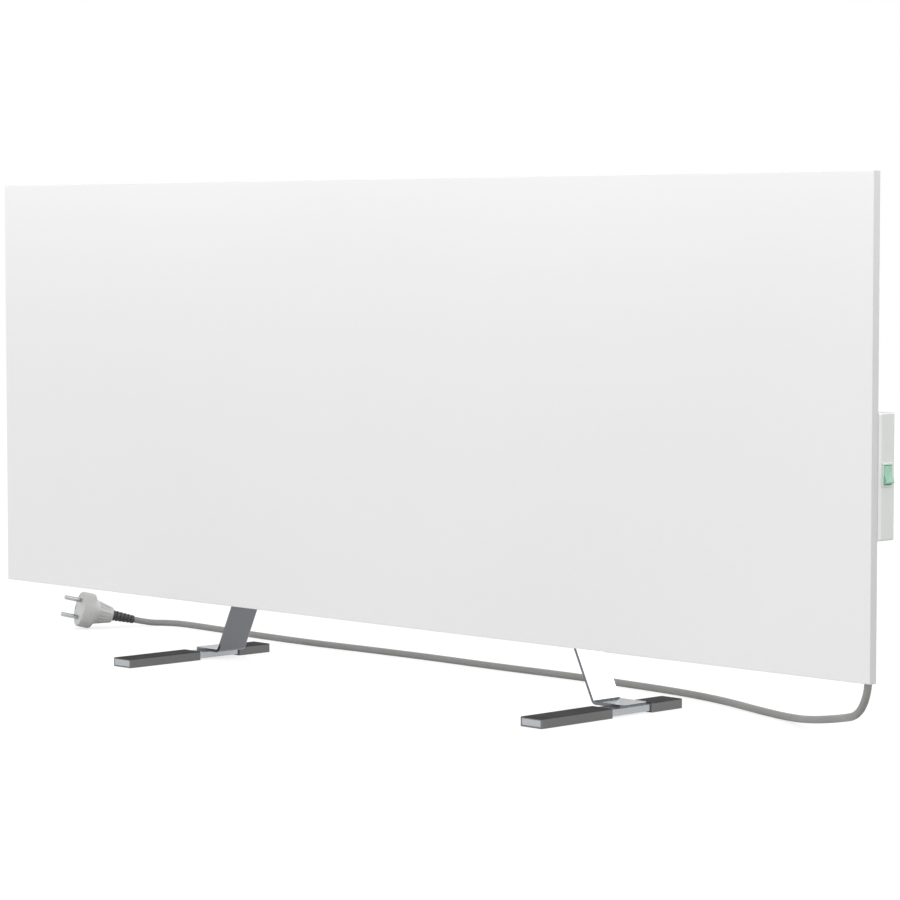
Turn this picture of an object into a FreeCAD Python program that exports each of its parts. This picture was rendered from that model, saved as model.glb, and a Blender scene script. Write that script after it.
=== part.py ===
import FreeCAD, Part
import math
import os

# Free-standing panel heater, in millimetres.
# X runs to the right along the panel, Y runs from front to back, Z is up and the floor is Z = 0.
# The origin is on the floor, midway between the feet and under the panel's middle plane.

# Panel and its inner layers
PANEL_WIDTH = 1194.0
PANEL_HEIGHT = 430.0
PANEL_DEPTH = 8.0
FLOOR_GAP = 60.0
SHEET = 0.8
EDGE_ROUND = 0.6
LIP_WIDTH = 14.0
PANEL_FIT = 0.3
LAYER_FIT = 1.0
MICA = 0.4
FOIL = 0.2
ELEMENT_THICK = 0.2
ELEMENT_MARGIN = 20.0
ELEMENT_STRIP = 14.0
ELEMENT_RUNS = 14
PLATE_THICK = 2.0
POCKET_FIT = 0.2
CHANNEL_WIDTH = 7.0
STRAP_WIDTH = 4.0
STRAP_THICK = 1.2
STRAP_GAP = 0.3
RIVET_RADIUS = 2.0
CUTOUT_WIDTH = 6.0
CUTOUT_THICK = 3.4
CUTOUT_HEIGHT = 18.0
CUTOUT_ABOVE_BOX = 40.0

# Screws: shank radius, head radius, head height, and the clearance of their holes
HOLE_FIT = 0.1
TIP_FIT = 0.6
SMALL_SHANK = 1.4
SMALL_HEAD = 2.7
SMALL_HEAD_HEIGHT = 1.5
LEG_SHANK = 2.5
LEG_HEAD = 4.6
LEG_HEAD_HEIGHT = 2.6
TIP_LENGTH = 0.5
REAR_SCREWS_ACROSS = 7

# Legs
FOOT_X = 288.0
FOOT_WIDTH = 26.0
FOOT_LENGTH = 187.0
CORE_THICK = 6.0
SLEEVE_WALL = 1.5
SLEEVE_FIT = 0.05
SLEEVE_ROUND = 1.0
BARE_FRONT = 14.0
BARE_REAR = 4.0
STEM_WIDTH = 35.0
STEM_THICK = 3.0
STEM_LEAN = 25.7
STEM_REACH = 12.0
STEM_SETBACK = 9.0
STEM_BEND = 3.0
TAB_ROUND = 4.0
STEM_NOTCH = 1.0
STEM_TAB = 34.0
STEM_RISE = 140.0
STEM_TAPER_START = 40.0
STEM_TOP_WIDTH = 14.0
LEG_SCREWS = 3
FOOT_SCREW_PITCH = 20.0

# Control box
BOX_WIDTH = 64.0
BOX_HEIGHT = 108.0
BOX_DEPTH = 22.0
BOX_OVERHANG = 0.7
BOX_RISE = 120.0
BOX_WALL = 2.0
BASE_DEPTH = 4.0
BOX_ROUND = 1.5
BOSS_RADIUS = 2.8
BOSS_MARGIN = 7.5
BASE_BOSS_HEIGHT = 8.0
COVER_SINK = 2.2
GROMMET_HOLE = 7.0
GROMMET_FLANGE = 9.0
GROMMET_BORE = 4.5
GROMMET_LIP = 1.2
GROMMET_FROM_SIDE = 39.0
GROMMET_DROP = 22.0
BLOCK_WIDTH = 24.0
BLOCK_HEIGHT = 12.0
BLOCK_DEPTH = 11.0
BLOCK_FROM_SIDE = 25.0
BLOCK_RISE = 34.0
POLE_PITCH = 8.0
POLE_BORE = 1.3
POLE_TUBE = 2.4
POLE_SCREW_HEAD = 1.8
POLE_FIT = 0.02
LEAD_RADIUS = 1.1
LUG_RADIUS = 4.0
LUG_THICK = 0.8
LUG_RISE = 24.0

# Switch
SWITCH_WIDTH = 12.0
SWITCH_DEPTH = 14.0
SWITCH_WALL = 0.8
SWITCH_BACK = 1.2
SWITCH_EDGE = 1.4
SWITCH_RISE = 1.5
FRAME_THICK = 1.0
FRAME_MARGIN = 1.0
ROCKER_RADIUS = 8.2
ROCKER_CLEARANCE = 0.3
ROCKER_SIDE = 0.15
ROCKER_CREST = 2.6
ROCKER_PROUD = 0.4
ROCKER_INNER = 1.6
ROCKER_TILT = 12.0
TRUNNION_RADIUS = 1.0
TRUNNION_FIT = 0.05
PLUNGER_RADIUS = 1.2
PLUNGER_REACH = 6.3
LEVER_DEPTH = 7.2
LEVER_THICK = 0.5
LEVER_LENGTH = 10.0
LEVER_WIDTH = 5.0
LEVER_TILT = 7.0
LEVER_GAP = 0.12
KNUCKLE_RADIUS = 0.6
BLADE_THICK = 0.8
BLADE_WIDTH = 4.8
BLADE_TAIL = 6.0
BLADE_SPREAD = 4.4
LAMP_RADIUS = 1.1
LAMP_LENGTH = 7.0

# Cord, its strain relief and its clamp
CORD_RADIUS = 3.4
CORD_FIT = 0.05
CORD_FROM_SIDE = 18.0
CORD_FROM_BACK = 11.0
GLAND_NECK = 5.0
GLAND_FLANGE = 6.5
GLAND_LIP = 2.0
GLAND_COLLAR = 4.0
GLAND_TAPER = 36.0
GLAND_TAPER_TOP = 5.6
GLAND_TAPER_END = 4.4
GLAND_RIBS = 5
GLAND_GROOVE = 1.2
GLAND_GROOVE_DEPTH = 0.5
TAIL_INSIDE = 16.0
CLAMP_RISE = 4.5
CLAMP_HEIGHT = 7.0
CLAMP_THICK = 2.0
CLAMP_POST = 5.0
CLAMP_GAP = 0.3

# Plug
PLUG_BOOT = 26.0
PLUG_BOOT_TAIL = 4.4
PLUG_BOOT_HEAD = 6.0
PLUG_GRIP = 20.0
PLUG_GRIP_TAIL = 9.0
PLUG_GRIP_HEAD = 13.5
PLUG_SHOULDER = 4.0
PLUG_NOSE = 14.0
PLUG_RADIUS = 19.5
PLUG_CHAMFER = 1.0
PIN_RADIUS = 2.4
PIN_LENGTH = 19.0
PIN_TIP = 1.4
PIN_PITCH = 19.0
PIN_SEAT = 10.0
PIN_ROOT = 2.0
PIN_FIT = 0.02
EARTH_WIDTH = 5.0
EARTH_THICK = 1.2
EARTH_DEPTH = 3.0

# The cord's route after the strain relief, on the floor behind the feet and up to the plug
CORD_ROUTE = [
    (579.7, 15.0, 126.0), (580.5, 15.3, 104.0), (580.6, 15.0, 80.0), (580.0, 15.5, 50.0),
    (561.5, 26.0, 27.0), (522.7, 50.0, 18.0), (472.7, 74.0, 9.0), (429.7, 98.0, 3.6), (381.7, 113.0, 3.4),
    (311.7, 140.0, 3.4), (247.7, 154.0, 3.4), (167.7, 161.0, 3.4), (82.7, 164.0, 3.4), (-7.3, 162.0, 3.4),
    (-97.3, 165.0, 3.4), (-187.3, 163.5, 3.4), (-277.3, 159.0, 3.4), (-362.3, 161.0, 3.4),
    (-437.3, 167.0, 3.4), (-488.3, 170.5, 3.4), (-514.3, 171.0, 3.4), (-531.3, 164.8, 3.4),
    (-544.8, 152.1, 3.4), (-552.1, 135.65, 7.65),
]

# Places that follow from the sizes
V = FreeCAD.Vector
PANEL_X = (-PANEL_WIDTH / 2, PANEL_WIDTH / 2)
PANEL_Y = (-PANEL_DEPTH / 2, PANEL_DEPTH / 2)
PANEL_Z = (FLOOR_GAP, FLOOR_GAP + PANEL_HEIGHT)
Y_FACE = PANEL_Y[0] + SHEET
Y_ELEMENT = Y_FACE + MICA
Y_REAR_MICA = Y_ELEMENT + ELEMENT_THICK
Y_FOIL = Y_REAR_MICA + MICA
Y_BOARD = Y_FOIL + FOIL
Y_BACK = PANEL_Y[1]
Y_SEAT = Y_BACK - SHEET
Y_LIP = Y_SEAT - SHEET
Y_PLATE = Y_SEAT - PLATE_THICK
Y_STRAP = Y_BOARD + STRAP_GAP

CORE_Z = (SLEEVE_WALL, SLEEVE_WALL + CORE_THICK)
FOOT_TOP = CORE_Z[1] + SLEEVE_WALL
FOOT_BARE_X = (FOOT_X - FOOT_WIDTH / 2 + SLEEVE_WALL, FOOT_X + FOOT_WIDTH / 2 - SLEEVE_WALL)
STEM_Y = (Y_BACK + STEM_SETBACK, Y_BACK + STEM_SETBACK + STEM_WIDTH)
STEM_BASE_X = FOOT_X - FOOT_WIDTH / 2 - STEM_REACH
STEM_SLOPE = math.tan(math.radians(STEM_LEAN))
STEM_ACROSS = STEM_THICK / math.cos(math.radians(STEM_LEAN))
TAB_Z = (FLOOR_GAP + SHEET + LIP_WIDTH + STEM_NOTCH, FLOOR_GAP + STEM_RISE)

BOX_X = (PANEL_X[1] + BOX_OVERHANG - BOX_WIDTH, PANEL_X[1] + BOX_OVERHANG)
BOX_Y = (Y_BACK, Y_BACK + BOX_DEPTH)
BOX_Z = (FLOOR_GAP + BOX_RISE, FLOOR_GAP + BOX_RISE + BOX_HEIGHT)
Y_BASE_FLOOR = Y_BACK + BOX_WALL
Y_PARTING = Y_BACK + BASE_DEPTH
Y_COVER_ROOF = BOX_Y[1] - BOX_WALL
Y_BOSS = Y_BASE_FLOOR + BASE_BOSS_HEIGHT
GROMMET_XZ = (BOX_X[1] - GROMMET_FROM_SIDE, BOX_Z[1] - GROMMET_DROP)
BLOCK_X = (BOX_X[1] - BLOCK_FROM_SIDE - BLOCK_WIDTH, BOX_X[1] - BLOCK_FROM_SIDE)
BLOCK_Z = (BOX_Z[0] + BLOCK_RISE, BOX_Z[0] + BLOCK_RISE + BLOCK_HEIGHT)
POLE_Y = Y_BASE_FLOOR + BLOCK_DEPTH / 2
POLE_X = [sum(BLOCK_X) / 2 + step * POLE_PITCH for step in (-1, 0, 1)]
EARTH_XZ = (POLE_X[0], BLOCK_Z[1] + LUG_RISE)

CAVITY_WIDTH = SWITCH_WIDTH - 2 * SWITCH_WALL
CAVITY_HALF = ROCKER_RADIUS + ROCKER_CLEARANCE
SWITCH_HALF = CAVITY_HALF + SWITCH_WALL
SWITCH_Y = Y_PARTING + SWITCH_EDGE + SWITCH_WIDTH / 2
SWITCH_Z = sum(BOX_Z) / 2 + SWITCH_RISE
FRAME_X = BOX_X[1] + FRAME_THICK
PIVOT = V(FRAME_X + ROCKER_PROUD - ROCKER_CREST, SWITCH_Y, SWITCH_Z)
SWITCH_REAR = FRAME_X - SWITCH_DEPTH
LEVER_PIVOT = PIVOT - V(LEVER_DEPTH, 0, 0)

CORD_XY = (BOX_X[1] - CORD_FROM_SIDE, BOX_Y[1] - CORD_FROM_BACK)
CORD_EXIT = V(CORD_XY[0], CORD_XY[1], BOX_Z[0] - GLAND_COLLAR - GLAND_TAPER)
CORD_TAIL_TOP = BOX_Z[0] + BOX_WALL + TAIL_INSIDE
CLAMP_Z = (BOX_Z[0] + BOX_WALL + CLAMP_RISE, BOX_Z[0] + BOX_WALL + CLAMP_RISE + CLAMP_HEIGHT)

ALONG_X = V(1, 0, 0)
ALONG_Y = V(0, 1, 0)
ALONG_Z = V(0, 0, 1)


# Shape helpers

def inset(span, amount):
    return (span[0] + amount, span[1] - amount)


def block(x, y, z):
    return Part.makeBox(x[1] - x[0], y[1] - y[0], z[1] - z[0], V(x[0], y[0], z[0]))


def rod(start, axis, radius, length):
    return Part.makeCylinder(radius, length, start, axis)


def plate(points, y):
    corners = [V(px, y[0], pz) for px, pz in points]
    face = Part.Face(Part.makePolygon(corners + corners[:1]))
    return face.extrude(V(0, y[1] - y[0], 0))


def turned(profile, start, axis):
    """Turns a closed outline of (radius, height) pairs about an axis through start."""
    side = ALONG_X if abs(axis.x) < 0.9 else ALONG_Z
    corners = [start + side * radius + axis * height for radius, height in profile]
    return Part.Face(Part.makePolygon(corners + corners[:1])).revolve(start, axis, 360)


def screw(seat, axis, shank, length, head, head_height):
    """A round-head screw: the head stands on its seat, the shank runs along the axis."""
    top = rod(seat - axis * head_height, axis, head, head_height)
    rim = [edge for edge in top.Edges if abs((edge.CenterOfMass - seat + axis * head_height) * axis) < 1e-6
           and edge.Closed]
    top = top.makeFillet(head_height * 0.5, rim)
    return top.fuse(rod(seat, axis, shank, length)).removeSplitter()


def holes(places, axis, radius, length):
    return [rod(place, axis, radius, length) for place in places]


def grouped(shapes):
    return Part.makeCompound(shapes)


def mirrored(shape):
    return shape.mirror(V(0, 0, 0), ALONG_X)


def corner_arc(before, corner, after):
    """The tangent arc at a route's corner: its first point, middle, last point and radius."""
    back = before - corner
    ahead = after - corner
    reach = 0.45 * min(back.Length, ahead.Length)
    back.normalize()
    ahead.normalize()
    half_turn = (math.pi - back.getAngle(ahead)) / 2
    radius = reach / math.tan(half_turn)
    middle = back + ahead
    middle.normalize()
    centre_distance = math.hypot(reach, radius)
    return corner + back * reach, corner + middle * (centre_distance - radius), corner + ahead * reach, radius


def tube(points, radius):
    """A round tube along straight runs joined by tangent arcs. Gives the solid and its arcs' radii."""
    edges = []
    radii = []
    place = points[0]
    for before, corner, after in zip(points, points[1:], points[2:]):
        first, middle, last, bend = corner_arc(before, corner, after)
        edges.append(Part.LineSegment(place, first).toShape())
        edges.append(Part.Arc(first, middle, last).toShape())
        radii.append(bend)
        place = last
    edges.append(Part.LineSegment(place, points[-1]).toShape())
    path = Part.Wire(edges)
    start = Part.Wire(Part.makeCircle(radius, points[0], points[1] - points[0]))
    solid = path.makePipeShell([start], True, False)
    expected = math.pi * radius ** 2 * path.Length
    return solid, radii, path.Length, solid.Volume / expected


def lead(points):
    return tube([V(*point) for point in points], LEAD_RADIUS)[0]


def save(name, shape):
    shape.exportStep("parts/" + name + ".step")


# Panel

def rear_screw_places():
    x = inset(PANEL_X, SHEET + LIP_WIDTH / 2)
    z = inset(PANEL_Z, SHEET + LIP_WIDTH / 2)
    places = []
    for step in range(REAR_SCREWS_ACROSS):
        across = x[0] + (x[1] - x[0]) * step / (REAR_SCREWS_ACROSS - 1)
        places += [(across, z[0]), (across, z[1])]
    for up in ((PANEL_Z[0] + BOX_Z[0]) / 2, (BOX_Z[1] + PANEL_Z[1]) / 2):
        places += [(x[0], up), (x[1], up)]
    return places


def front_panel():
    shell = block(PANEL_X, PANEL_Y, PANEL_Z)
    rim = [edge for edge in shell.Edges if edge.BoundBox.YMax < PANEL_Y[0] + 1e-6]
    shell = shell.makeFillet(EDGE_ROUND, rim)
    cavity = block(inset(PANEL_X, SHEET), (Y_FACE, Y_LIP), inset(PANEL_Z, SHEET))
    mouth = block(inset(PANEL_X, SHEET + LIP_WIDTH), (Y_LIP, Y_BACK), inset(PANEL_Z, SHEET + LIP_WIDTH))
    seat = block(inset(PANEL_X, SHEET), (Y_SEAT, Y_BACK), inset(PANEL_Z, SHEET))
    bores = holes([V(x, Y_LIP, z) for x, z in rear_screw_places()], ALONG_Y, SMALL_SHANK + HOLE_FIT, SHEET)
    return shell.cut([cavity, mouth, seat] + bores)


def layer(y):
    edge = SHEET + LAYER_FIT
    return block(inset(PANEL_X, edge), y, inset(PANEL_Z, edge))


def element_span():
    return inset(PANEL_X, ELEMENT_MARGIN), inset(PANEL_Z, ELEMENT_MARGIN)


def element_rows():
    z = inset(element_span()[1], ELEMENT_STRIP / 2)
    return [z[0] + (z[1] - z[0]) * row / (ELEMENT_RUNS - 1) for row in range(ELEMENT_RUNS)]


def heating_element():
    """One foil strip to and fro across the panel, with both ends on the right."""
    x = element_span()[0]
    y = (Y_ELEMENT, Y_REAR_MICA)
    half = ELEMENT_STRIP / 2
    rows = element_rows()
    runs = [block(x, y, (z - half, z + half)) for z in rows]
    links = []
    for row, (low, high) in enumerate(zip(rows, rows[1:])):
        side = (x[0], x[0] + ELEMENT_STRIP) if row % 2 == 0 else (x[1] - ELEMENT_STRIP, x[1])
        links.append(block(side, y, (low - half, high + half)))
    return runs[0].fuse(runs[1:] + links).removeSplitter()


def strap_x():
    return element_span()[0][1] - ELEMENT_STRIP / 2


def element_ends():
    rows = element_rows()
    return [(strap_x(), rows[0]), (strap_x(), rows[-1])]


def element_rivets():
    return grouped([rod(V(x, Y_REAR_MICA, z), ALONG_Y, RIVET_RADIUS, Y_STRAP - Y_REAR_MICA)
                    for x, z in element_ends()])


def rivet_holes(y):
    return holes([V(x, y[0], z) for x, z in element_ends()], ALONG_Y, RIVET_RADIUS + HOLE_FIT, y[1] - y[0])


def rear_insulator():
    y = (Y_REAR_MICA, Y_FOIL)
    return layer(y).cut(rivet_holes(y))


def reflector_foil():
    y = (Y_FOIL, Y_BOARD)
    return layer(y).cut(rivet_holes(y))


def lead_rows():
    """Heights of the live and the neutral lead in the grommet."""
    return GROMMET_XZ[1] + 2 * LEAD_RADIUS, GROMMET_XZ[1] - 2 * LEAD_RADIUS


def cutout_z():
    low = BOX_Z[1] + CUTOUT_ABOVE_BOX
    return (low, low + CUTOUT_HEIGHT)


def strap(z):
    half = STRAP_WIDTH / 2
    return block((strap_x() - half, strap_x() + half), (Y_STRAP, Y_STRAP + STRAP_THICK), z)


def live_strap():
    end = element_ends()[1][1] + STRAP_WIDTH / 2
    start = lead_rows()[0] - LEAD_RADIUS
    return grouped([strap((start, cutout_z()[0])), strap((cutout_z()[1], end))])


def neutral_strap():
    end = element_ends()[0][1] - STRAP_WIDTH / 2
    return strap((end, lead_rows()[1] + LEAD_RADIUS))


def thermal_cutout():
    half = CUTOUT_WIDTH / 2
    return block((strap_x() - half, strap_x() + half), (Y_STRAP, Y_STRAP + CUTOUT_THICK), cutout_z())


def tip_holes(places, shank):
    """Room in the board for the screws' tips."""
    return holes([V(x, Y_BOARD, z) for x, z in places], ALONG_Y, shank + TIP_FIT, Y_SEAT - Y_BOARD)


def insulation_board():
    board = layer((Y_BOARD, Y_LIP))
    half = CHANNEL_WIDTH / 2
    ends = element_ends()
    channel = block((strap_x() - half, strap_x() + half), (Y_BOARD, Y_LIP), (ends[0][1] - half, ends[1][1] + half))
    x, z = GROMMET_XZ
    pocket = rod(V(x, Y_BOARD, z), ALONG_Y, GROMMET_FLANGE + TIP_FIT, Y_LIP - Y_BOARD)
    lane = block((x, strap_x()), (Y_BOARD, Y_LIP), (z - GROMMET_FLANGE, z + GROMMET_FLANGE))
    pocket_y = (Y_PLATE - POCKET_FIT, Y_SEAT)
    seats = [box_plate_shape(pocket_y, POCKET_FIT)]
    leg_seat = leg_plate_shape(pocket_y, POCKET_FIT)
    seats += [leg_seat, mirrored(leg_seat)]
    bores = tip_holes(rear_screw_places(), SMALL_SHANK)
    bores += tip_holes(box_screw_places(), SMALL_SHANK)
    bores += tip_holes([EARTH_XZ], SMALL_SHANK)
    bores += tip_holes(both_sides(leg_screw_places()), LEG_SHANK)
    return board.cut([channel, pocket, lane] + seats + bores)


def rear_panel():
    edge = SHEET + PANEL_FIT
    sheet = block(inset(PANEL_X, edge), (Y_SEAT, Y_BACK), inset(PANEL_Z, edge))
    bores = []
    for places, radius in ((rear_screw_places(), SMALL_SHANK), (box_screw_places(), SMALL_SHANK),
                           ([EARTH_XZ], SMALL_SHANK), (both_sides(leg_screw_places()), LEG_SHANK)):
        bores += holes([V(x, Y_SEAT, z) for x, z in places], ALONG_Y, radius + HOLE_FIT, SHEET)
    bores.append(rod(V(GROMMET_XZ[0], Y_SEAT, GROMMET_XZ[1]), ALONG_Y, GROMMET_HOLE, SHEET))
    return sheet.cut(bores)


def rear_panel_screws():
    length = Y_BACK - Y_LIP + TIP_LENGTH
    return grouped([screw(V(x, Y_BACK, z), -ALONG_Y, SMALL_SHANK, length, SMALL_HEAD, SMALL_HEAD_HEIGHT)
                    for x, z in rear_screw_places()])


# Legs, modelled on the right and mirrored to the left

def both_sides(places):
    return places + [(-x, z) for x, z in places]


def stem_x(z):
    """The stem's inner face at a height. It leans outwards towards the floor."""
    return STEM_BASE_X - (z - CORE_Z[1]) * STEM_SLOPE


def stem_outline(z, near, far):
    """A leaning strip seen from the front: its edges lie near and far from the stem's inner face."""
    return [(stem_x(z[0]) + near, z[0]), (stem_x(z[0]) + far, z[0]),
            (stem_x(z[1]) + far, z[1]), (stem_x(z[1]) + near, z[1])]


def leg_screw_places():
    step = (TAB_Z[1] - TAB_Z[0]) / LEG_SCREWS
    rows = [TAB_Z[0] + step * (row + 0.5) for row in range(LEG_SCREWS)]
    return [(stem_x(z) + STEM_ACROSS + STEM_TAB / 2, z) for z in rows]


def foot_screw_places():
    middle = sum(STEM_Y) / 2
    return [(FOOT_X, middle + side * FOOT_SCREW_PITCH / 2) for side in (-1, 1)]


def rounded(shape, place, axis, radius):
    """Rounds the straight edges that lie on the line through a place along an axis."""
    line = Part.Line(place, place + axis)
    edges = [edge for edge in shape.Edges if edge.Curve.TypeId == "Part::GeomLine"
             and all(line.projectPoint(vertex.Point, "LowerDistance") < 1e-4 for vertex in edge.Vertexes)]
    return shape.makeFillet(radius, edges)


def leg_stem():
    web = plate(stem_outline((CORE_Z[1], TAB_Z[1]), 0, STEM_ACROSS), (Y_BACK, STEM_Y[1]))
    reach = (STEM_BASE_X - PANEL_WIDTH, STEM_BASE_X + PANEL_WIDTH)
    notch = block(reach, (Y_BACK, STEM_Y[0]), (CORE_Z[1], TAB_Z[0]))
    taper = [V(reach[0], STEM_Y[1], FLOOR_GAP + STEM_TAPER_START), V(reach[0], STEM_Y[1], TAB_Z[1]),
             V(reach[0], Y_BACK + STEM_TOP_WIDTH, TAB_Z[1])]
    slope = Part.Face(Part.makePolygon(taper + taper[:1])).extrude(V(reach[1] - reach[0], 0, 0))
    tab = plate(stem_outline(TAB_Z, 0, STEM_ACROSS + STEM_TAB), (Y_BACK, Y_BACK + STEM_THICK))
    sole = block((STEM_BASE_X, FOOT_BARE_X[1]), STEM_Y, (CORE_Z[1], CORE_Z[1] + STEM_THICK))
    bores = holes([V(x, Y_BACK, z) for x, z in leg_screw_places()], ALONG_Y, LEG_SHANK + HOLE_FIT, STEM_THICK)
    bores += holes([V(x, y, CORE_Z[1]) for x, y in foot_screw_places()], ALONG_Z, LEG_SHANK + HOLE_FIT, STEM_THICK)
    stem = web.cut([notch, slope]).fuse([tab, sole]).removeSplitter()
    sole_top = CORE_Z[1] + STEM_THICK
    lean = V(-STEM_SLOPE, 0, 1)
    stem = rounded(stem, V(stem_x(sole_top) + STEM_ACROSS, 0, sole_top), ALONG_Y, STEM_BEND)
    stem = rounded(stem, V(STEM_BASE_X, 0, CORE_Z[1]), ALONG_Y, STEM_BEND + STEM_THICK)
    stem = rounded(stem, V(stem_x(TAB_Z[0]) + STEM_ACROSS, Y_BACK + STEM_THICK, TAB_Z[0]), lean, STEM_BEND)
    stem = rounded(stem, V(stem_x(TAB_Z[0]), Y_BACK, TAB_Z[0]), lean, STEM_BEND + STEM_THICK)
    for z in TAB_Z:
        stem = rounded(stem, V(stem_x(z) + STEM_ACROSS + STEM_TAB, 0, z), ALONG_Y, TAB_ROUND)
    for y in STEM_Y:
        stem = rounded(stem, V(FOOT_BARE_X[1], y, 0), ALONG_Z, STEM_BEND)
    return stem.cut(bores)


def leg_plate_shape(y, grow):
    z = inset(TAB_Z, -grow)
    return plate(stem_outline(z, STEM_ACROSS - grow, STEM_ACROSS + STEM_TAB + grow), y)


def leg_backing_plate():
    bores = holes([V(x, Y_PLATE, z) for x, z in leg_screw_places()], ALONG_Y, LEG_SHANK + HOLE_FIT, PLATE_THICK)
    return leg_plate_shape((Y_PLATE, Y_SEAT), 0).cut(bores)


def leg_screws():
    seat = Y_BACK + STEM_THICK
    length = seat - Y_PLATE + TIP_LENGTH
    return grouped([screw(V(x, seat, z), -ALONG_Y, LEG_SHANK, length, LEG_HEAD, LEG_HEAD_HEIGHT)
                    for x, z in both_sides(leg_screw_places())])


def foot_screw(x, y):
    """A countersunk screw from below, flush with the foot's underside."""
    sink = LEG_HEAD - LEG_SHANK
    top = CORE_Z[1] + STEM_THICK - CORE_Z[0]
    outline = [(0, 0), (LEG_HEAD, 0), (LEG_SHANK, sink), (LEG_SHANK, top), (0, top)]
    return turned(outline, V(x, y, CORE_Z[0]), ALONG_Z)


def foot_core():
    core = block(FOOT_BARE_X, (-FOOT_LENGTH / 2, FOOT_LENGTH / 2), CORE_Z)
    wide = LEG_HEAD + HOLE_FIT
    narrow = LEG_SHANK + HOLE_FIT
    outline = [(0, 0), (wide, 0), (narrow, wide - narrow), (narrow, CORE_THICK), (0, CORE_THICK)]
    return core.cut([turned(outline, V(x, y, CORE_Z[0]), ALONG_Z) for x, y in foot_screw_places()])


def foot_sleeve(y):
    """A rubber sleeve around the foot's core, open at both ends."""
    x = (FOOT_X - FOOT_WIDTH / 2, FOOT_X + FOOT_WIDTH / 2)
    body = block(x, y, (0, FOOT_TOP))
    for side in x:
        body = rounded(body, V(side, 0, FOOT_TOP), ALONG_Y, SLEEVE_ROUND)
    return body.cut(block(inset(FOOT_BARE_X, -SLEEVE_FIT), y, inset(CORE_Z, -SLEEVE_FIT)))


def front_sleeve():
    return foot_sleeve((-FOOT_LENGTH / 2, STEM_Y[0] - BARE_FRONT))


def rear_sleeve():
    return foot_sleeve((STEM_Y[1] + BARE_REAR, FOOT_LENGTH / 2))


# Control box

def box_screw_places():
    left = BOX_X[0] + BOSS_MARGIN + 2.2 * BOSS_RADIUS
    right = PANEL_X[1] - SHEET - LIP_WIDTH - BOSS_RADIUS
    return [(left, BOX_Z[0] + 3 * BOSS_MARGIN), (left, BOX_Z[1] - BOSS_MARGIN), (right, BOX_Z[1] - BOSS_MARGIN)]


def cover_screw_places():
    x = inset(BOX_X, BOSS_MARGIN)
    z = inset(BOX_Z, BOSS_MARGIN)
    return [(x[0], z[0]), (x[0], z[1]), (x[1], z[1])]


def box_plate_shape(y, grow):
    edge = BOX_WALL - grow
    return block(inset((BOX_X[0], strap_x() - CHANNEL_WIDTH), edge), y, inset(BOX_Z, edge))


def box_backing_plate():
    places = [place for place in box_screw_places() if place[0] < strap_x() - CHANNEL_WIDTH] + [EARTH_XZ]
    bores = holes([V(x, Y_PLATE, z) for x, z in places], ALONG_Y, SMALL_SHANK + HOLE_FIT, PLATE_THICK)
    pass_hole = rod(V(GROMMET_XZ[0], Y_PLATE, GROMMET_XZ[1]), ALONG_Y, GROMMET_FLANGE + TIP_FIT, PLATE_THICK)
    lane_z = (GROMMET_XZ[1] - GROMMET_FLANGE, GROMMET_XZ[1] + GROMMET_FLANGE)
    lane = block((GROMMET_XZ[0], strap_x()), (Y_PLATE, Y_SEAT), lane_z)
    return box_plate_shape((Y_PLATE, Y_SEAT), 0).cut(bores + [pass_hole, lane])


def rounded_box(x, y, z):
    body = block(x, y, z)
    corners = [edge for edge in body.Edges if edge.BoundBox.YLength > edge.BoundBox.XLength
               and edge.BoundBox.YLength > edge.BoundBox.ZLength]
    return body.makeFillet(BOX_ROUND, corners)


def clamp_posts():
    gap = CORD_RADIUS + CLAMP_GAP
    left = (CORD_XY[0] - gap - CLAMP_POST, CORD_XY[0] - gap)
    right = (CORD_XY[0] + gap, CORD_XY[0] + gap + CLAMP_POST)
    return left, right


def clamp_screw_places():
    z = sum(CLAMP_Z) / 2
    return [(sum(post) / 2, z) for post in clamp_posts()]


def control_box_base():
    body = rounded_box(BOX_X, (Y_BACK, Y_PARTING), BOX_Z)
    hollow = block(inset(BOX_X, BOX_WALL), (Y_BASE_FLOOR, Y_PARTING), inset(BOX_Z, BOX_WALL))
    body = body.cut(hollow)
    bosses = [rod(V(x, Y_BASE_FLOOR, z), ALONG_Y, BOSS_RADIUS, BASE_BOSS_HEIGHT) for x, z in cover_screw_places()]
    top = CORD_XY[1] + CORD_RADIUS
    bosses += [block(post, (Y_BASE_FLOOR, top), CLAMP_Z) for post in clamp_posts()]
    saddle_x = (CORD_XY[0] - CORD_RADIUS, CORD_XY[0] + CORD_RADIUS)
    bosses.append(block(saddle_x, (Y_BASE_FLOOR, CORD_XY[1] - CORD_RADIUS - CORD_FIT), CLAMP_Z))
    body = body.fuse(bosses).removeSplitter()
    pilot = SMALL_SHANK + HOLE_FIT
    bores = holes([V(x, Y_BACK, z) for x, z in box_screw_places()], ALONG_Y, pilot, BOX_WALL)
    bores += holes([V(EARTH_XZ[0], Y_BACK, EARTH_XZ[1])], ALONG_Y, pilot, BOX_WALL)
    bores += holes([V(x, Y_BASE_FLOOR, z) for x, z in cover_screw_places()], ALONG_Y, pilot, BASE_BOSS_HEIGHT)
    bores += holes([V(x, Y_BASE_FLOOR, z) for x, z in clamp_screw_places()], ALONG_Y, pilot, top - Y_BASE_FLOOR)
    bores.append(rod(V(GROMMET_XZ[0], Y_BACK, GROMMET_XZ[1]), ALONG_Y, GROMMET_HOLE, BOX_WALL))
    return body.cut(bores)


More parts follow.
